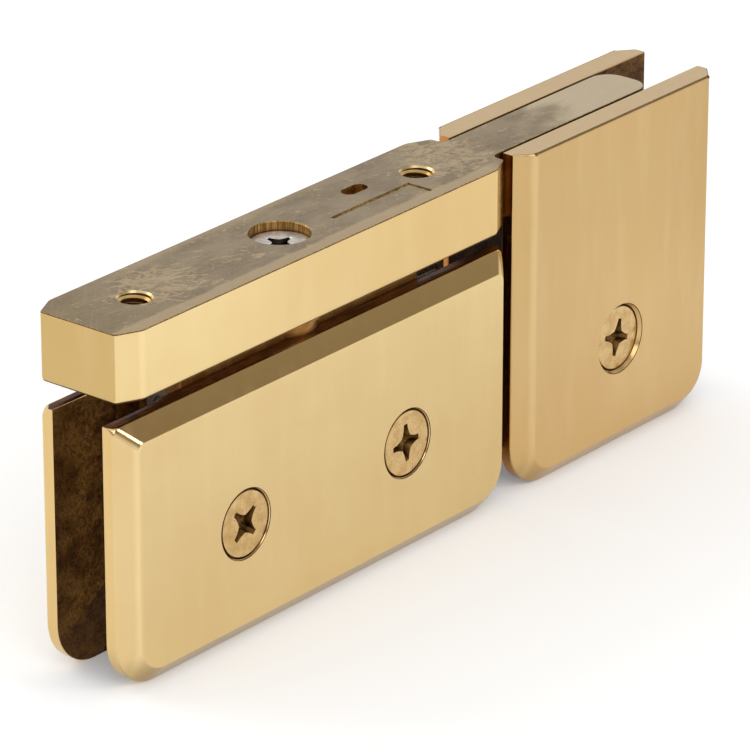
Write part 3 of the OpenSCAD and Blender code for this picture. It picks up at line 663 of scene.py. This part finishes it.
def plate_blank(length, height, top_bevel):
    """A plate with its inner face at y = 0 and its top at z = 0, its outer face towards -y."""
    bm = bmesh.new()
    x = length / 2
    outline = [bm.verts.new(c) for c in ((-x, 0, 0), (x, 0, 0), (x, 0, -height), (-x, 0, -height))]
    bm.faces.new(outline)
    bmesh.ops.bevel(bm, geom=outline[2:], offset=corner_r, offset_type="OFFSET", affect="VERTICES",
                    segments=16, profile=0.5, material=-1)
    raise_face(bm, bm.faces[:][0], (0, -edge_t, 0))
    bmesh.ops.recalc_face_normals(bm, faces=bm.faces)
    outer = face_at(bm, (0, -1, 0), (0, -edge_t, 0))
    bmesh.ops.inset_region(bm, faces=[outer], thickness=bevel_w, depth=plate_t - edge_t, use_even_offset=True)
    if not top_bevel:
        rim = [v for v in bm.verts if v.co.y < 0.1 - plate_t and v.co.z > -bevel_w - 0.1]
        bmesh.ops.translate(bm, vec=(0, 0, bevel_w), verts=rim)
        merge_flats(bm)
    return bm


def soften_plate(bm, cut_top_round=0):
    """Polished edges: the mitres are rounder than the rims, and a cut top has a rounding of its own."""
    def outer():
        return [e for e in sharp(bm) if all(v.co.y < 0.01 - edge_t for v in e.verts)]

    mitres = [e for e in outer() if {round(v.co.y, 2) for v in e.verts} == {-edge_t, -plate_t}
              and any(v.co.z < -0.1 for v in e.verts)]
    soften(bm, mitres, mitre_round, 8)
    if cut_top_round:
        soften(bm, [e for e in outer() if all(v.co.z > -0.01 for v in e.verts)], cut_top_round, 3)
    soften(bm, outer(), rim_round, 3)
    soften(bm, sharp(bm), edge_round)


def add_seat(bm, half_length, depth):
    """The raised seat at the top of a door plate's inner face."""
    sides = [((hand * half_length, 0, 0), (1, 0, 0)) for hand in hands]
    for point, normal in sides + [((0, 0, -depth), (0, 0, 1))]:
        inner = [f for f in bm.faces if f.normal.y > 0.999]
        rim = {g for f in inner for g in list(f.edges) + list(f.verts)}
        bmesh.ops.bisect_plane(bm, geom=inner + list(rim), plane_co=point, plane_no=normal)
    middles = [(f, f.calc_center_median()) for f in bm.faces if f.normal.y > 0.999]
    seat = next(f for f, middle in middles if abs(middle.x) < half_length and middle.z > -depth)
    raise_face(bm, seat, (0, seat_t, 0))
    merge_flats(bm)


def door_blank():
    """A door plate, still without its screw holes."""
    bm = plate_blank(door_l, door_h, True)
    depth = -body_low.z + door_top
    add_seat(bm, body_high.x + seat_margin, depth)
    soften_plate(bm)
    hollow_l = depth + barrel_gap
    combine(bm, rod((0, door_y, past), (0, 0, -1), barrel_r + barrel_gap, past + hollow_l, 96), "DIFFERENCE")
    merge_flats(bm)
    return bm


def seat_face(bm, hand):
    """The flat face of the seat on one side of its hollow."""
    near = [f for f in bm.faces if f.normal.y > 0.999 and f.calc_center_median().x * hand > 0
            and abs(f.calc_center_median().y - seat_t) < 0.02]
    return max(near, key=lambda f: f.calc_area())


def countersink(bm, x, z, sink, inner_y):
    """The mouths of a countersunk screw hole in a plate, and its way through."""
    lip = head_r + lip_play
    mouth = lip + mouth_break + mouth_slope * sink
    outer_ring = ring(bm, (x, -plate_t, z), (0, 1, 0), mouth, 64)
    inner_ring = ring(bm, (x, inner_y, z), (0, 1, 0), shank_hole_r, 64)
    wall = [(mouth, 0), (mouth - mouth_break, mouth_break_h), (lip, sink),
            (shank_hole_r, sink + lip - shank_hole_r), (shank_hole_r, plate_t + inner_y)]
    return outer_ring, inner_ring, wall


def tapped_boss(bm, edges, centre, radius, height, tapped_to):
    """Raises a ring on a plate's inner side into a boss, with a blind tapped hole down to a depth."""
    end = bore(bm, edges, centre, (0, 1, 0),
               [(radius, 0), (radius, height - boss_chamfer), (radius - boss_chamfer, height),
                (boss_tap_r + boss_chamfer, height), (boss_tap_r, height - boss_chamfer),
                (boss_tap_r, tapped_to)])
    fill(bm, end)


polished, raw_inside, rim, flat_top, painted_shade_edge = range(5)


def mark_plate(bm, holes=(), sink=0):
    """Marks a plate's finishes; the screw holes' lip and lower walls and a cut top's front edge get painted
    shade.
    """
    def choose(face):
        centre, normal = face.calc_center_median(), face.normal
        from_face = centre.y + plate_t
        if centre.z > -0.2 and normal.y > 0.1 and normal.z > 0.1:
            return polished
        if centre.y > -0.05:
            return raw_inside
        if from_face > 0.01 and any(hypot(centre.x - x, centre.z - z) < head_r + 0.9 for x, z in holes):
            return polished if 0.06 <= from_face <= sink else painted_shade_edge
        if centre.z > -0.3 and from_face < 0.3 and 0.1 < normal.z < 0.97:
            return painted_shade_edge
        if abs(normal.y) > 0.1 or from_face < 0.1 and normal.z < 0.9:
            return polished
        return flat_top if normal.z > 0.9 else rim
    mark(bm, choose)


def move(bm, x, y, z):
    """Moves the whole piece."""
    bmesh.ops.translate(bm, vec=(x, y, z), verts=bm.verts)


def place_plate(bm, x, y, z, back=False):
    """Moves a plate from where it is drawn to its side of the glass; a back one is mirrored."""
    if back:
        bmesh.ops.scale(bm, vec=(1, -1, 1), verts=bm.verts)
    move(bm, x, y if back else -y, z)


raw_plate_finish = raw_cast_inside()
# Painted shade: dark brown for the screw holes' lip and lower walls and the line along a cut top's front
# edge.
hole_shade_finish = raw_dark("countersink painted shade brass", "2E1604", "7A5426")
bevel_x = bevel_w - door_l / 2
# Painted shade: the left bevel is darkened against the front, and faces that look down are browned; the
# corner station places a painted highlight.
door_brass = polished_brass("polished door plate brass", "E1C791",
                            [(0, -45, 45, "DDC38C", 1), (0, bevel_x, bevel_x - 1, "B08C54", 0.13)],
                            corner=bevel_x, painted_shade_under=0.55)
door_rim = polished_brass("door rim brass", "DCBC80", [(0, -45, 45, "C9A468", 1)])
# The door plates' flat top edges get a dark brown as painted shade, a painted reflection of the bar's shaded
# underside.
door_finishes = [door_brass, raw_plate_finish, door_rim,
                 raw_dark("door top brass, painted shade", "4A2206", "8E5222", 0.55), hole_shade_finish]
hole_z = screw_z - door_top

front = door_blank()
cuts = [countersink(front, hand * screw_x, hole_z, door_sink, seat_t) for hand in hands]
open_face(front, face_at(front, (0, -1, 0), (0, -plate_t, 0)), [mouth for mouth, inner, wall in cuts])
for hand, (mouth, inner, wall) in zip(hands, cuts):
    open_face(front, seat_face(front, hand), [inner])
    bore(front, mouth, (hand * screw_x, -plate_t, hole_z), (0, 1, 0), wall)
mark_plate(front, [(hand * screw_x, hole_z) for hand in hands], door_sink)
place_plate(front, 0, door_y, door_top)
finish_piece("door_plate_front", front, "door_clamp", "door_front_plate", door_finishes)

back = door_blank()
for hand in hands:
    centre = (hand * screw_x, seat_t, hole_z)
    boss = ring(back, centre, (0, 1, 0), boss_r)
    open_face(back, seat_face(back, hand), [boss])
    tapped_boss(back, boss, centre, boss_r, boss_h, tap_wall - plate_t - seat_t)
mark_plate(back)
place_plate(back, 0, door_y, door_top, True)
finish_piece("door_plate_back", back, "door_clamp", "door_back_plate", door_finishes)


# ---- U-clamp plates ----
# Two shorter plates that grip the fixed glass. Their tops are cut square, level with the mounting
# face. The front one is countersunk, the back one carries the round spacer that its screw bites in.

low, high = node_box("u_front_plate")
u_l, u_h, u_x, u_y = high.x - low.x, -low.z, (low.x + high.x) / 2, -high.y
u_sink, cut_top_round, spacer_r, socket_r, socket_depth = 0.7, 0.28, 6.0, 2.05, 2.4
spacer_h = 2 * u_y


def cut_top():
    """The U plates' tops: sawn and linished, duller than the rest."""
    metal = Finish("linished top brass")
    patches = metal.noise(0.4, 4.0, roughness=0.6)
    lines = metal.noise(1.0, 3.0, (0.06, 3.5, 1), 0.5)
    specks = metal.noise(3.0, 2.0).rise(0.66, 0.74)
    colour = metal.mix(patches * 0.5 + lines * 0.4, "DCC094", "C9AE84")
    colour = metal.mix(specks * 0.3, colour, "8A6A3C")
    return metal.shaded(colour, 0.36 + lines * 0.1, 0.9, metal.bump(lines + patches, 3e-5, 0.5))


# Painted highlight along the left bevel's corner (fifth argument), painted shade on faces looking down
# (sixth).
u_brass = polished_brass("polished U plate brass", "D5B47D",
                         [(2, -52, -5, "C6A671", 1), (0, 76, 96, "9A7846", 0.16)],
                         0.06, u_x - u_l / 2 + bevel_w, 0.4)
# The U rim brass is darkened as painted shade, a painted reflection of the shaded bar end that the rims face.
u_finishes = [u_brass, raw_plate_finish, polished_brass("U rim brass", "B87A42", [(0, 48, 54, "8A5628", 1)]),
              cut_top(), hole_shade_finish]


def open_inner_face(bm, screw_ring):
    """Cuts the screw's ring and the two dowel sockets in a plate's inner face, and sinks the sockets."""
    sockets = [ring(bm, (x - u_x, 0, dowel_z), (0, 1, 0), socket_r, 32) for x in dowel_places]
    open_face(bm, face_at(bm, (0, 1, 0), (0, 0, 0)), [screw_ring] + sockets)
    for x, socket in zip(dowel_places, sockets):
        end = bore(bm, socket, (x - u_x, 0, dowel_z), (0, -1, 0), [(socket_r, 0), (socket_r, socket_depth)])
        fill(bm, end)


front = plate_blank(u_l, u_h, False)
soften_plate(front, cut_top_round)
mouth, inner, wall = countersink(front, 0, screw_z, u_sink, 0)
open_face(front, face_at(front, (0, -1, 0), (0, -plate_t, 0)), [mouth])
open_inner_face(front, inner)
bore(front, mouth, (0, -plate_t, screw_z), (0, 1, 0), wall)
mark_plate(front, [(0, screw_z)], u_sink)
place_plate(front, u_x, u_y, 0)
finish_piece("u_plate_front", front, "header", "u_front_plate", u_finishes)

back = plate_blank(u_l, u_h, False)
soften_plate(back, cut_top_round)
spacer = ring(back, (0, 0, screw_z), (0, 1, 0), spacer_r, 64)
open_inner_face(back, spacer)
tapped_boss(back, spacer, (0, 0, screw_z), spacer_r, spacer_h, tap_wall - plate_t)
mark_plate(back)
place_plate(back, u_x, u_y, 0, True)
finish_piece("u_plate_back", back, "header", "u_back_plate", u_finishes)


# ---- Clamp screws ----
# Countersunk M6 machine screws with a cross recess, brass plated; their heads sit just under the
# plates' faces, turned as each one came to rest.

shank_r, core_r, head_round, end_chamfer, thread_h, turns_left_off = 2.9, 2.45, 0.16, 0.5, 0.4, 1.4
door_shaft_end, door_end, u_shaft_end, u_end = 9.8, 15.8, 3.4, 16.2
recess_w, wing_reach, wing_half_w, wing_flare = 6.0, 0.54, 0.13, 0.4
recess_steps = ((0.94, 0.1), (0.7, 1.0), (0.42, 0.9))
recess_depth = sum(drop for factor, drop in recess_steps)


def star_ring(bm, turn, reach, segments=96):
    """The mouth of a cross recess: a ring drawn in to four blunt wings that widen to the middle."""
    edges = ring(bm, (0, 0, 0), (0, 0, 1), 1.0, segments)
    verts = verts_of(edges)
    for v in verts:
        along, across = sorted((abs(v.co.x), abs(v.co.y)), reverse=True)
        r = reach
        while r * across > reach * (wing_half_w + wing_flare * (1 - r * along / reach) ** 2):
            r -= 0.01
        v.co *= r
    bmesh.ops.rotate(bm, cent=(0, 0, 0), matrix=Matrix.Rotation(radians(turn), 3, "Z"), verts=verts)
    return edges


def screw(head_radius, shaft_r, root_r, shaft_end, end, recess, turn, pitch=1.0):
    """A countersunk screw, its head's face at z = 0 and its thread down -Z. The recess and the
    round of the head's rim are marked for the second finish, a painted shade."""
    bm = bmesh.new()
    edge = ring(bm, (0, 0, 0), (0, 0, 1), head_radius - head_round, 72)
    star = star_ring(bm, turn, recess * wing_reach)
    fill(bm, edge + star)
    tail = bore(bm, edge, (0, 0, 0), (0, 0, -1),
                [(head_radius - head_round, 0), (head_radius - 0.04, 0.05), (head_radius, head_round),
                 (shaft_r, head_round + head_radius - shaft_r), (shaft_r, shaft_end - 0.2),
                 (root_r, shaft_end), (root_r, end - end_chamfer), (root_r - end_chamfer, end)])
    fill(bm, tail)
    for factor, drop in recess_steps:
        star = carry(bm, star, (0, 0, -drop), factor)
    fill(bm, star)
    turns = (end - shaft_end) / pitch - turns_left_off
    thread(bm, (0, 0, -shaft_end - pitch / 2), (0, 0, -1), root_r + thread_h, root_r - 0.05, pitch, turns)

    def choose(face):
        centre = face.calc_center_median()
        away = hypot(centre.x, centre.y)
        on_rim = away > head_radius - head_round and centre.z > -head_round
        in_recess = away < recess / 2 and centre.z > -recess_depth - 0.1
        return int(centre.z < -0.01 and (on_rim or in_recess))
    mark(bm, choose)
    return bm


def screw_metal(name, head_x):
    """Brass plating over a turned head: fine rings round its axis, a few nicks, soft cloudiness."""
    metal = Finish(name)
    x, y, z = metal.parts(metal.mm)
    away = ((x - head_x) ** 2.0 + (z - screw_z) ** 2.0) ** 0.5
    rings = metal.lines(away, 4.0)
    patches = metal.noise(0.6, 4.0, roughness=0.6)
    nicks = metal.noise(2.5, 3.0, roughness=0.6).rise(0.64, 0.71)
    colour = metal.mix(patches.rise(0.35, 0.7) * 0.6 + rings * 0.4, "DDBE87", "BC975E")
    colour = metal.mix(nicks * 0.6, colour, "6E4A22")
    height = rings * 0.6 + patches * 0.8 + nicks * 0.3
    return metal.shaded(colour, 0.22 + patches * 0.12, normal=metal.bump(height, 5e-5, 0.5))


# Painted shade, dark brown, in the cross recesses and round the heads' rims.
recess_shade_finish = raw_dark("recess painted shade brass", "2C1806", "9A7440")


def clamp_screw(which, body, node, x, y, shaft_end, end, turn):
    """A screw that lies along +Y, with its head's face at y."""
    bm = screw(head_r, shank_r, core_r, shaft_end, end, recess_w, turn)
    lay = Matrix.Translation((x, y, screw_z)) @ Matrix.Rotation(radians(90), 4, "X")
    bmesh.ops.transform(bm, matrix=lay, verts=bm.verts)
    head = screw_metal(f"plated {which} screw brass", x)
    finish_piece(f"clamp_screw_{which}", bm, body, node, [head, recess_shade_finish])


door_face, u_face = door_sink - door_y - plate_t, u_sink - u_y - plate_t
clamp_screw("left", "door_clamp", "door_screw_left", -screw_x, door_face, door_shaft_end, door_end, 45)
clamp_screw("right", "door_clamp", "door_screw_right", screw_x, door_face, door_shaft_end, door_end, 4)
clamp_screw("u", "header", "u_clamp_screw", u_x, u_face, u_shaft_end, u_end, 76)


# ---- Pin screw ----
# A bright nickel-plated countersunk screw, sunk in the counterbore, that draws the pivot pin up
# into the bar.

pin_screw_sink, pin_head_r, pin_shank_r, pin_core_r = 1.5, 4.6, 2.45, 2.05
pin_shaft_end, pin_screw_end, pin_pitch, pin_recess_w, pin_recess_turn = 3.7, 8.5, 0.8, 4.8, -1


def bright_nickel():
    """Nickel plating over a turned head, with fine scratches out from its middle."""
    metal = Finish("bright nickel")
    x, y = metal.parts(metal.mm)[:2]
    angle = metal.add("ShaderNodeMath", {"operation": "ARCTAN2"}, {0: y, 1: x})
    rays = metal.lines(angle, 9.0, 4.0)
    patches = metal.noise(0.9, 4.0)
    colour = metal.mix(patches.rise(0.35, 0.7) * 0.5 + rays * 0.4, "F2F0EC", "B4AEA2")
    return metal.shaded(colour, 0.3 + rays * 0.2, 0.65, metal.bump(rays + patches * 0.4, 8e-5, 0.7))


pin_screw = screw(pin_head_r, pin_shank_r, pin_core_r, pin_shaft_end, pin_screw_end, pin_recess_w,
                  pin_recess_turn, pin_pitch)
move(pin_screw, 0, 0, -pin_screw_sink)
# The recess takes a near-black steel as painted shade.
finish_piece("pin_retaining_screw", pin_screw, "header", "pin_screw",
             [bright_nickel(), raw_dark("recess painted shade steel", "0C0A08", "4A4238")])


# ---- Pivot pin ----
# A ground steel pin: a spigot with two flats keyed in the bar, two journals with a four-flat cam
# between them, a groove for its retaining ring, and a threaded hole for its screw.

pin_low, pin_high = node_box("pivot_pin")
cam_r, cam_flat, spigot_r, groove_r = 4.3, 3.75, 3.45, 2.9
journal_top, cam_top, cam_bottom, groove_top, groove_bottom = -11.05, -15.25, -22.25, -28.9, -29.9
pin_hole_r, pin_hole_end, chamfer, spigot_play = 2.1, -13.5, 0.5, 0.05


def turned(bm, stations, segments=64):
    """A turned piece round Z through stations of height and radius. A third number draws it in to
    flats that far out along Y, and a fourth to flats along X too."""
    edges, rings = ring(bm, (0, 0, 0), (0, 0, 1), 1.0, segments), []
    for step, (height, radius, *flats) in enumerate(stations):
        if step:
            edges = carry(bm, edges, (0, 0, 0))
        for v in verts_of(edges):
            v.co.z = 0
            v.co = v.co.normalized() * radius
            for across, flat in zip((1, 0), flats):
                v.co[across] = max(-flat, min(flat, v.co[across]))
            v.co.z = height
        rings.append(edges)
    return rings


def close_ends(bm, rings):
    """Closes both ends of a turned piece."""
    fill(bm, rings[0])
    fill(bm, rings[-1])


def ground_steel(name, light, dark, axis=2):
    """Ground and lightly oiled steel: fine lines round the piece, a few darker spots."""
    metal = Finish(name)
    along = metal.parts(metal.mm)[axis]
    lines = metal.lines(along, 6.0)
    patches = metal.noise(0.5, 4.0, roughness=0.6)
    colour = metal.mix(lines * 0.4 + patches.rise(0.35, 0.7) * 0.5, light, dark)
    return metal.shaded(colour, 0.24 + patches * 0.16, normal=metal.bump(lines + patches * 0.5, 3e-5, 0.5))


pin = bmesh.new()
half_flat = spigot_flats / 2 - spigot_play
rings = turned(pin, [(pin_low.z, pin_r - chamfer), (pin_low.z + chamfer, pin_r), (groove_bottom, pin_r),
                     (groove_bottom, groove_r), (groove_top, groove_r), (groove_top, pin_r),
                     (cam_bottom, pin_r), (cam_bottom, cam_r, cam_flat, cam_flat),
                     (cam_top, cam_r, cam_flat, cam_flat), (cam_top, pin_r), (journal_top, pin_r),
                     (journal_top, spigot_r, half_flat), (pin_high.z, spigot_r, half_flat),
                     (pin_high.z, pin_hole_r), (pin_hole_end, pin_hole_r)])
close_ends(pin, rings)
pin_steel = ground_steel("ground pin steel", "C8C6C0", "8C8880")
finish_piece("pivot_pin", pin, "header", "pivot_pin", [pin_steel])


# ---- Washer, bushes and retaining ring ----
# A nylon thrust washer under the bar, two sintered bronze bushes pressed into the pivot body, and
# the open steel ring that keeps the pin from lifting out.

running_fit, flange_t, bush_chamfer, flange_chamfer, washer_round = 0.03, 0.8, 0.2, 0.15, 0.1


def chamfered(low, high, radius, chamfer):
    """The stations of a round outside, chamfered at both ends."""
    inner = radius - chamfer
    return [(low, inner), (low + chamfer, radius), (high - chamfer, radius), (high, inner)]


def sleeve(node, body, finish, low, high, outside):
    """A turned sleeve on the pin, from its bore along its outside and back to its bore."""
    bm = bmesh.new()
    turned(bm, [(low.z, bore_r)] + outside + [(high.z, bore_r), (low.z, bore_r)])
    finish_piece(node, bm, body, node, [finish])


def sintered_bronze():
    """Sintered bronze: open-pored, brown and oily."""
    metal = Finish("sintered bronze")
    pores = metal.noise(3.5, 3.0, roughness=0.7)
    patches = metal.noise(0.4, 3.0)
    colour = metal.mix(patches.rise(0.3, 0.7), "B0854A", "8A6234")
    colour = metal.mix(pores.rise(0.55, 0.7) * 0.7, colour, "4A3016")
    return metal.shaded(colour, 0.42 + pores * 0.1, 0.9, metal.bump(pores, 1.5e-4, 0.6))


def milky_nylon():
    """Plain nylon: off-white, slightly glossy, with a moulded grain and a little grease."""
    plastic = Finish("off-white nylon")
    grain = plastic.noise(1.4, 4.0)
    grease = plastic.noise(0.35, 3.0).rise(0.5, 0.7)
    colour = plastic.mix(grain * 0.3 + grease * 0.4, "E6E1D2", "C9BF9E")
    return plastic.shaded(colour, 0.42 - grease * 0.15, 0.0, plastic.bump(grain, 6e-5, 0.5))


def blued_steel(name):
    """Oiled, heat-blackened spring steel."""
    metal = Finish(name)
    patches = metal.noise(0.8, 4.0)
    lines = metal.noise(4.0, 3.0)
    colour = metal.mix(patches.rise(0.35, 0.7), "4A4846", "6C675F")
    return metal.shaded(colour, 0.26 + lines * 0.14, normal=metal.bump(lines, 3e-5, 0.5))


washer_low, washer_high = node_box("thrust_washer")
bush_low, bush_high = node_box("upper_bush")
lower_low, lower_high = node_box("lower_bush")
bronze, bore_r, bush_r = sintered_bronze(), pin_r + running_fit, lower_high.x
flange_r, flange_z = bush_high.x, bush_high.z - flange_t
sleeve("thrust_washer", "header", milky_nylon(), washer_low, washer_high,
       chamfered(washer_low.z, washer_high.z, washer_high.x, washer_round))
shank = chamfered(bush_low.z, bush_high.z, bush_r, bush_chamfer)
flange = chamfered(bush_low.z, bush_high.z, flange_r, flange_chamfer)
sleeve("upper_bush", "door_clamp", bronze, bush_low, bush_high,
       shank[:2] + [(flange_z, bush_r), (flange_z, flange_r)] + flange[2:])
sleeve("lower_bush", "door_clamp", bronze, lower_low, lower_high,
       chamfered(lower_low.z, lower_high.z, bush_r, bush_chamfer))

ring_low, ring_high = node_box("retaining_ring")
ring_r, ring_bore, ring_round, opening = -ring_low.x, groove_r + 0.05, 0.1, radians(72)
open_ring = bmesh.new()
profile = [(ring_low.z, ring_bore)] + chamfered(ring_low.z, ring_high.z, ring_r, ring_round)
profile.append((ring_high.z, ring_bore))
start = [open_ring.verts.new((r * cos(opening / 2), r * sin(opening / 2), z)) for z, r in profile]
bmesh.ops.spin(open_ring, geom=[open_ring.faces.new(start)], cent=(0, 0, 0), axis=(0, 0, 1),
               dvec=(0, 0, 0), angle=2 * pi - opening, steps=56)
finish_piece("pin_retaining_ring", open_ring, "header", "retaining_ring",
             [blued_steel("blued ring steel")])


# ---- Pivot body ----
# The brass block between the door plates: an upright barrel bored for the pin's bushes, one long
# cross bore for the detents, and two clearance holes with seats for the back plate's bosses.

block_t, block_round, boss_play = 8.3, 0.25, 0.05
detent_z, detent_bore_r = -18.75, 3.0
body_l, barrel_l = 2 * body_high.x, body_high.z - body_low.z
body = bmesh.new()
bmesh.ops.create_cube(body, size=1.0)
bmesh.ops.scale(body, vec=(body_l, block_t, barrel_l), verts=body.verts)
move(body, 0, 0, (body_high.z + body_low.z) / 2)
soften(body, sharp(body), block_round)
combine(body, rod((0, 0, body_low.z), (0, 0, 1), barrel_r, barrel_l, 96), "UNION")
combine(body, rod((0, 0, body_low.z - past), (0, 0, 1), bush_r, barrel_l + 2 * past, 96), "DIFFERENCE")
combine(body, rod((-body_l, 0, detent_z), (1, 0, 0), detent_bore_r, 2 * body_l, 64), "DIFFERENCE")
hole_y, seat_y = barrel_r + past, block_t / 2 - boss_h - boss_play
for hand in hands:
    x = hand * screw_x
    combine(body, rod((x, -hole_y, screw_z), (0, 1, 0), shank_hole_r, 2 * hole_y), "DIFFERENCE")
    combine(body, rod((x, seat_y, screw_z), (0, 1, 0), boss_r + boss_play, hole_y, 64), "DIFFERENCE")


def machined_brass():
    """Milled brass, tarnished golden brown, with cutter lines and darker oil in the low spots."""
    metal = Finish("milled body brass")
    lines = metal.noise(1.0, 3.0, (0.1, 0.1, 4.0), 0.5)
    patches = metal.noise(0.25, 5.0, roughness=0.6)
    pits = metal.noise(1.6, 4.0, roughness=0.7).rise(0.58, 0.7)
    colour = metal.mix(patches.rise(0.35, 0.65), "B8864A", "8A5C26")
    colour = metal.mix(lines * 0.25, colour, "C89A58")
    colour = metal.mix(pits * 0.5, colour, "3E2408")
    height = lines * 0.5 + patches + pits * 0.3
    return metal.shaded(colour, 0.34 + patches * 0.12, 0.95, metal.bump(height, 6e-5, 0.6))


finish_piece("pivot_body", body, "door_clamp", "pivot_body", [machined_brass()])


# ---- Detents ----
# On each side a hardened plunger, pushed on the pin's cam by a coil spring, in a bore that a steel
# plug closes. The plug has a hexagon socket.

plunger_r, pocket_r, nose_x, plunger_l, pocket_depth = 2.95, 2.6, 4.35, 8.0, 5.0
nose_chamfer, mouth_chamfer = 0.4, 0.1
spring_r, wire_r, spring_turns, closed_share = 2.2, 0.35, 6, 0.35
plug_hex, plug_hex_depth, plug_chamfer = 3.0, 2.5, 0.3
detent_steel = ground_steel("hardened plunger steel", "B8B6B0", "7C7870", 0)
spring_finish = blued_steel("oiled spring steel")
# Painted highlight: the plugs' steel is lighter than the other ground steel, for the gleam on their ends.
plug_painted_highlight_steel = ground_steel("ground plug steel", "F0EEE8", "C4BEB2", 0)


def turn_about(bm, axis, degrees):
    """Turns the whole piece about an axis through the middle."""
    matrix = Matrix.Rotation(radians(degrees), 3, axis)
    bmesh.ops.rotate(bm, cent=(0, 0, 0), matrix=matrix, verts=bm.verts)


def face_out(bm, hand, x):
    """Lays a piece drawn up Z along X on its side of the pin, its base at the station."""
    turn_about(bm, "Y", 90)
    move(bm, x, 0, 0)
    bmesh.ops.scale(bm, vec=(hand, 1, 1), verts=bm.verts)
    move(bm, 0, 0, detent_z)


for hand, end in zip(hands, ("left", "right")):
    plunger_name, spring_name, plug_name = [f"detent_{part}_{end}" for part in ("plunger", "spring", "plug")]
    plunger = bmesh.new()
    rings = turned(plunger, [(0, plunger_r - nose_chamfer), (nose_chamfer, plunger_r),
                             (plunger_l - mouth_chamfer, plunger_r), (plunger_l, plunger_r - mouth_chamfer),
                             (plunger_l, pocket_r), (plunger_l - pocket_depth, pocket_r)])
    close_ends(plunger, rings)
    face_out(plunger, hand, nose_x)
    finish_piece(plunger_name, plunger, f"plunger_{end}", plunger_name, [detent_steel])

    low, high = node_box(spring_name)
    spring_l = high.x - low.x - 2 * wire_r
    spring_start = min(abs(low.x), abs(high.x)) + wire_r
    closed_l = spring_l * closed_share / spring_turns
    coil = bmesh.new()
    wire = ring(coil, (spring_r, 0, 0), (0, 1, 0), wire_r, 10)
    geom = wire + verts_of(wire)
    for turns, length in ((1, closed_l), (spring_turns - 2, spring_l - 2 * closed_l), (1, closed_l)):
        steps = 24 * turns
        geom = bmesh.ops.spin(coil, geom=geom, cent=(0, 0, 0), axis=(0, 0, 1), dvec=(0, 0, length / steps),
                              angle=2 * pi * turns, steps=steps)["geom_last"]
    bmesh.ops.holes_fill(coil, edges=[e for e in coil.edges if e.is_boundary])
    face_out(coil, hand, spring_start)
    finish_piece(spring_name, coil, "door_clamp", spring_name, [spring_finish], 60)

    low, high = node_box(plug_name)
    plug_l, plug_r, plug_start = high.x - low.x, high.z - detent_z, min(abs(low.x), abs(high.x))
    plug = bmesh.new()
    rings = turned(plug, chamfered(0, plug_l, plug_r, plug_chamfer))
    fill(plug, rings[0])
    hexagon = ring(plug, (0, 0, plug_l), (0, 0, 1), plug_hex / 2 / cos(pi / 6), 6)
    fill(plug, rings[-1] + hexagon)
    fill(plug, carry(plug, hexagon, (0, 0, -plug_hex_depth)))
    face_out(plug, hand, plug_start)
    finish_piece(plug_name, plug, "door_clamp", plug_name, [plug_painted_highlight_steel])


# ---- Tongue dowels ----
# Two dowels of ground steel, pressed through the tongue and chamfered at both ends. They sit in the
# sockets of the two U-clamp plates and carry them.

dowel_chamfer = 0.3
dowel_steel = ground_steel("ground dowel steel", "BDBAB4", "807C74", 1)
for x, dowel_name in zip(dowel_places, ("tongue_dowel_left", "tongue_dowel_right")):
    low, high = node_box(dowel_name)
    dowel = bmesh.new()
    rings = turned(dowel, chamfered(low.y, high.y, dowel_r, dowel_chamfer))
    close_ends(dowel, rings)
    turn_about(dowel, "X", -90)
    move(dowel, x, 0, dowel_z)
    finish_piece(dowel_name, dowel, "header", dowel_name, [dowel_steel])


# ---- Whole hinge ----
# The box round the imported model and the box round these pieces, in metres, kept side by side so
# that the two can be compared.

boxes = [[[float(c) for c in corner] for corner in box] for box in (cad_box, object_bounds())]
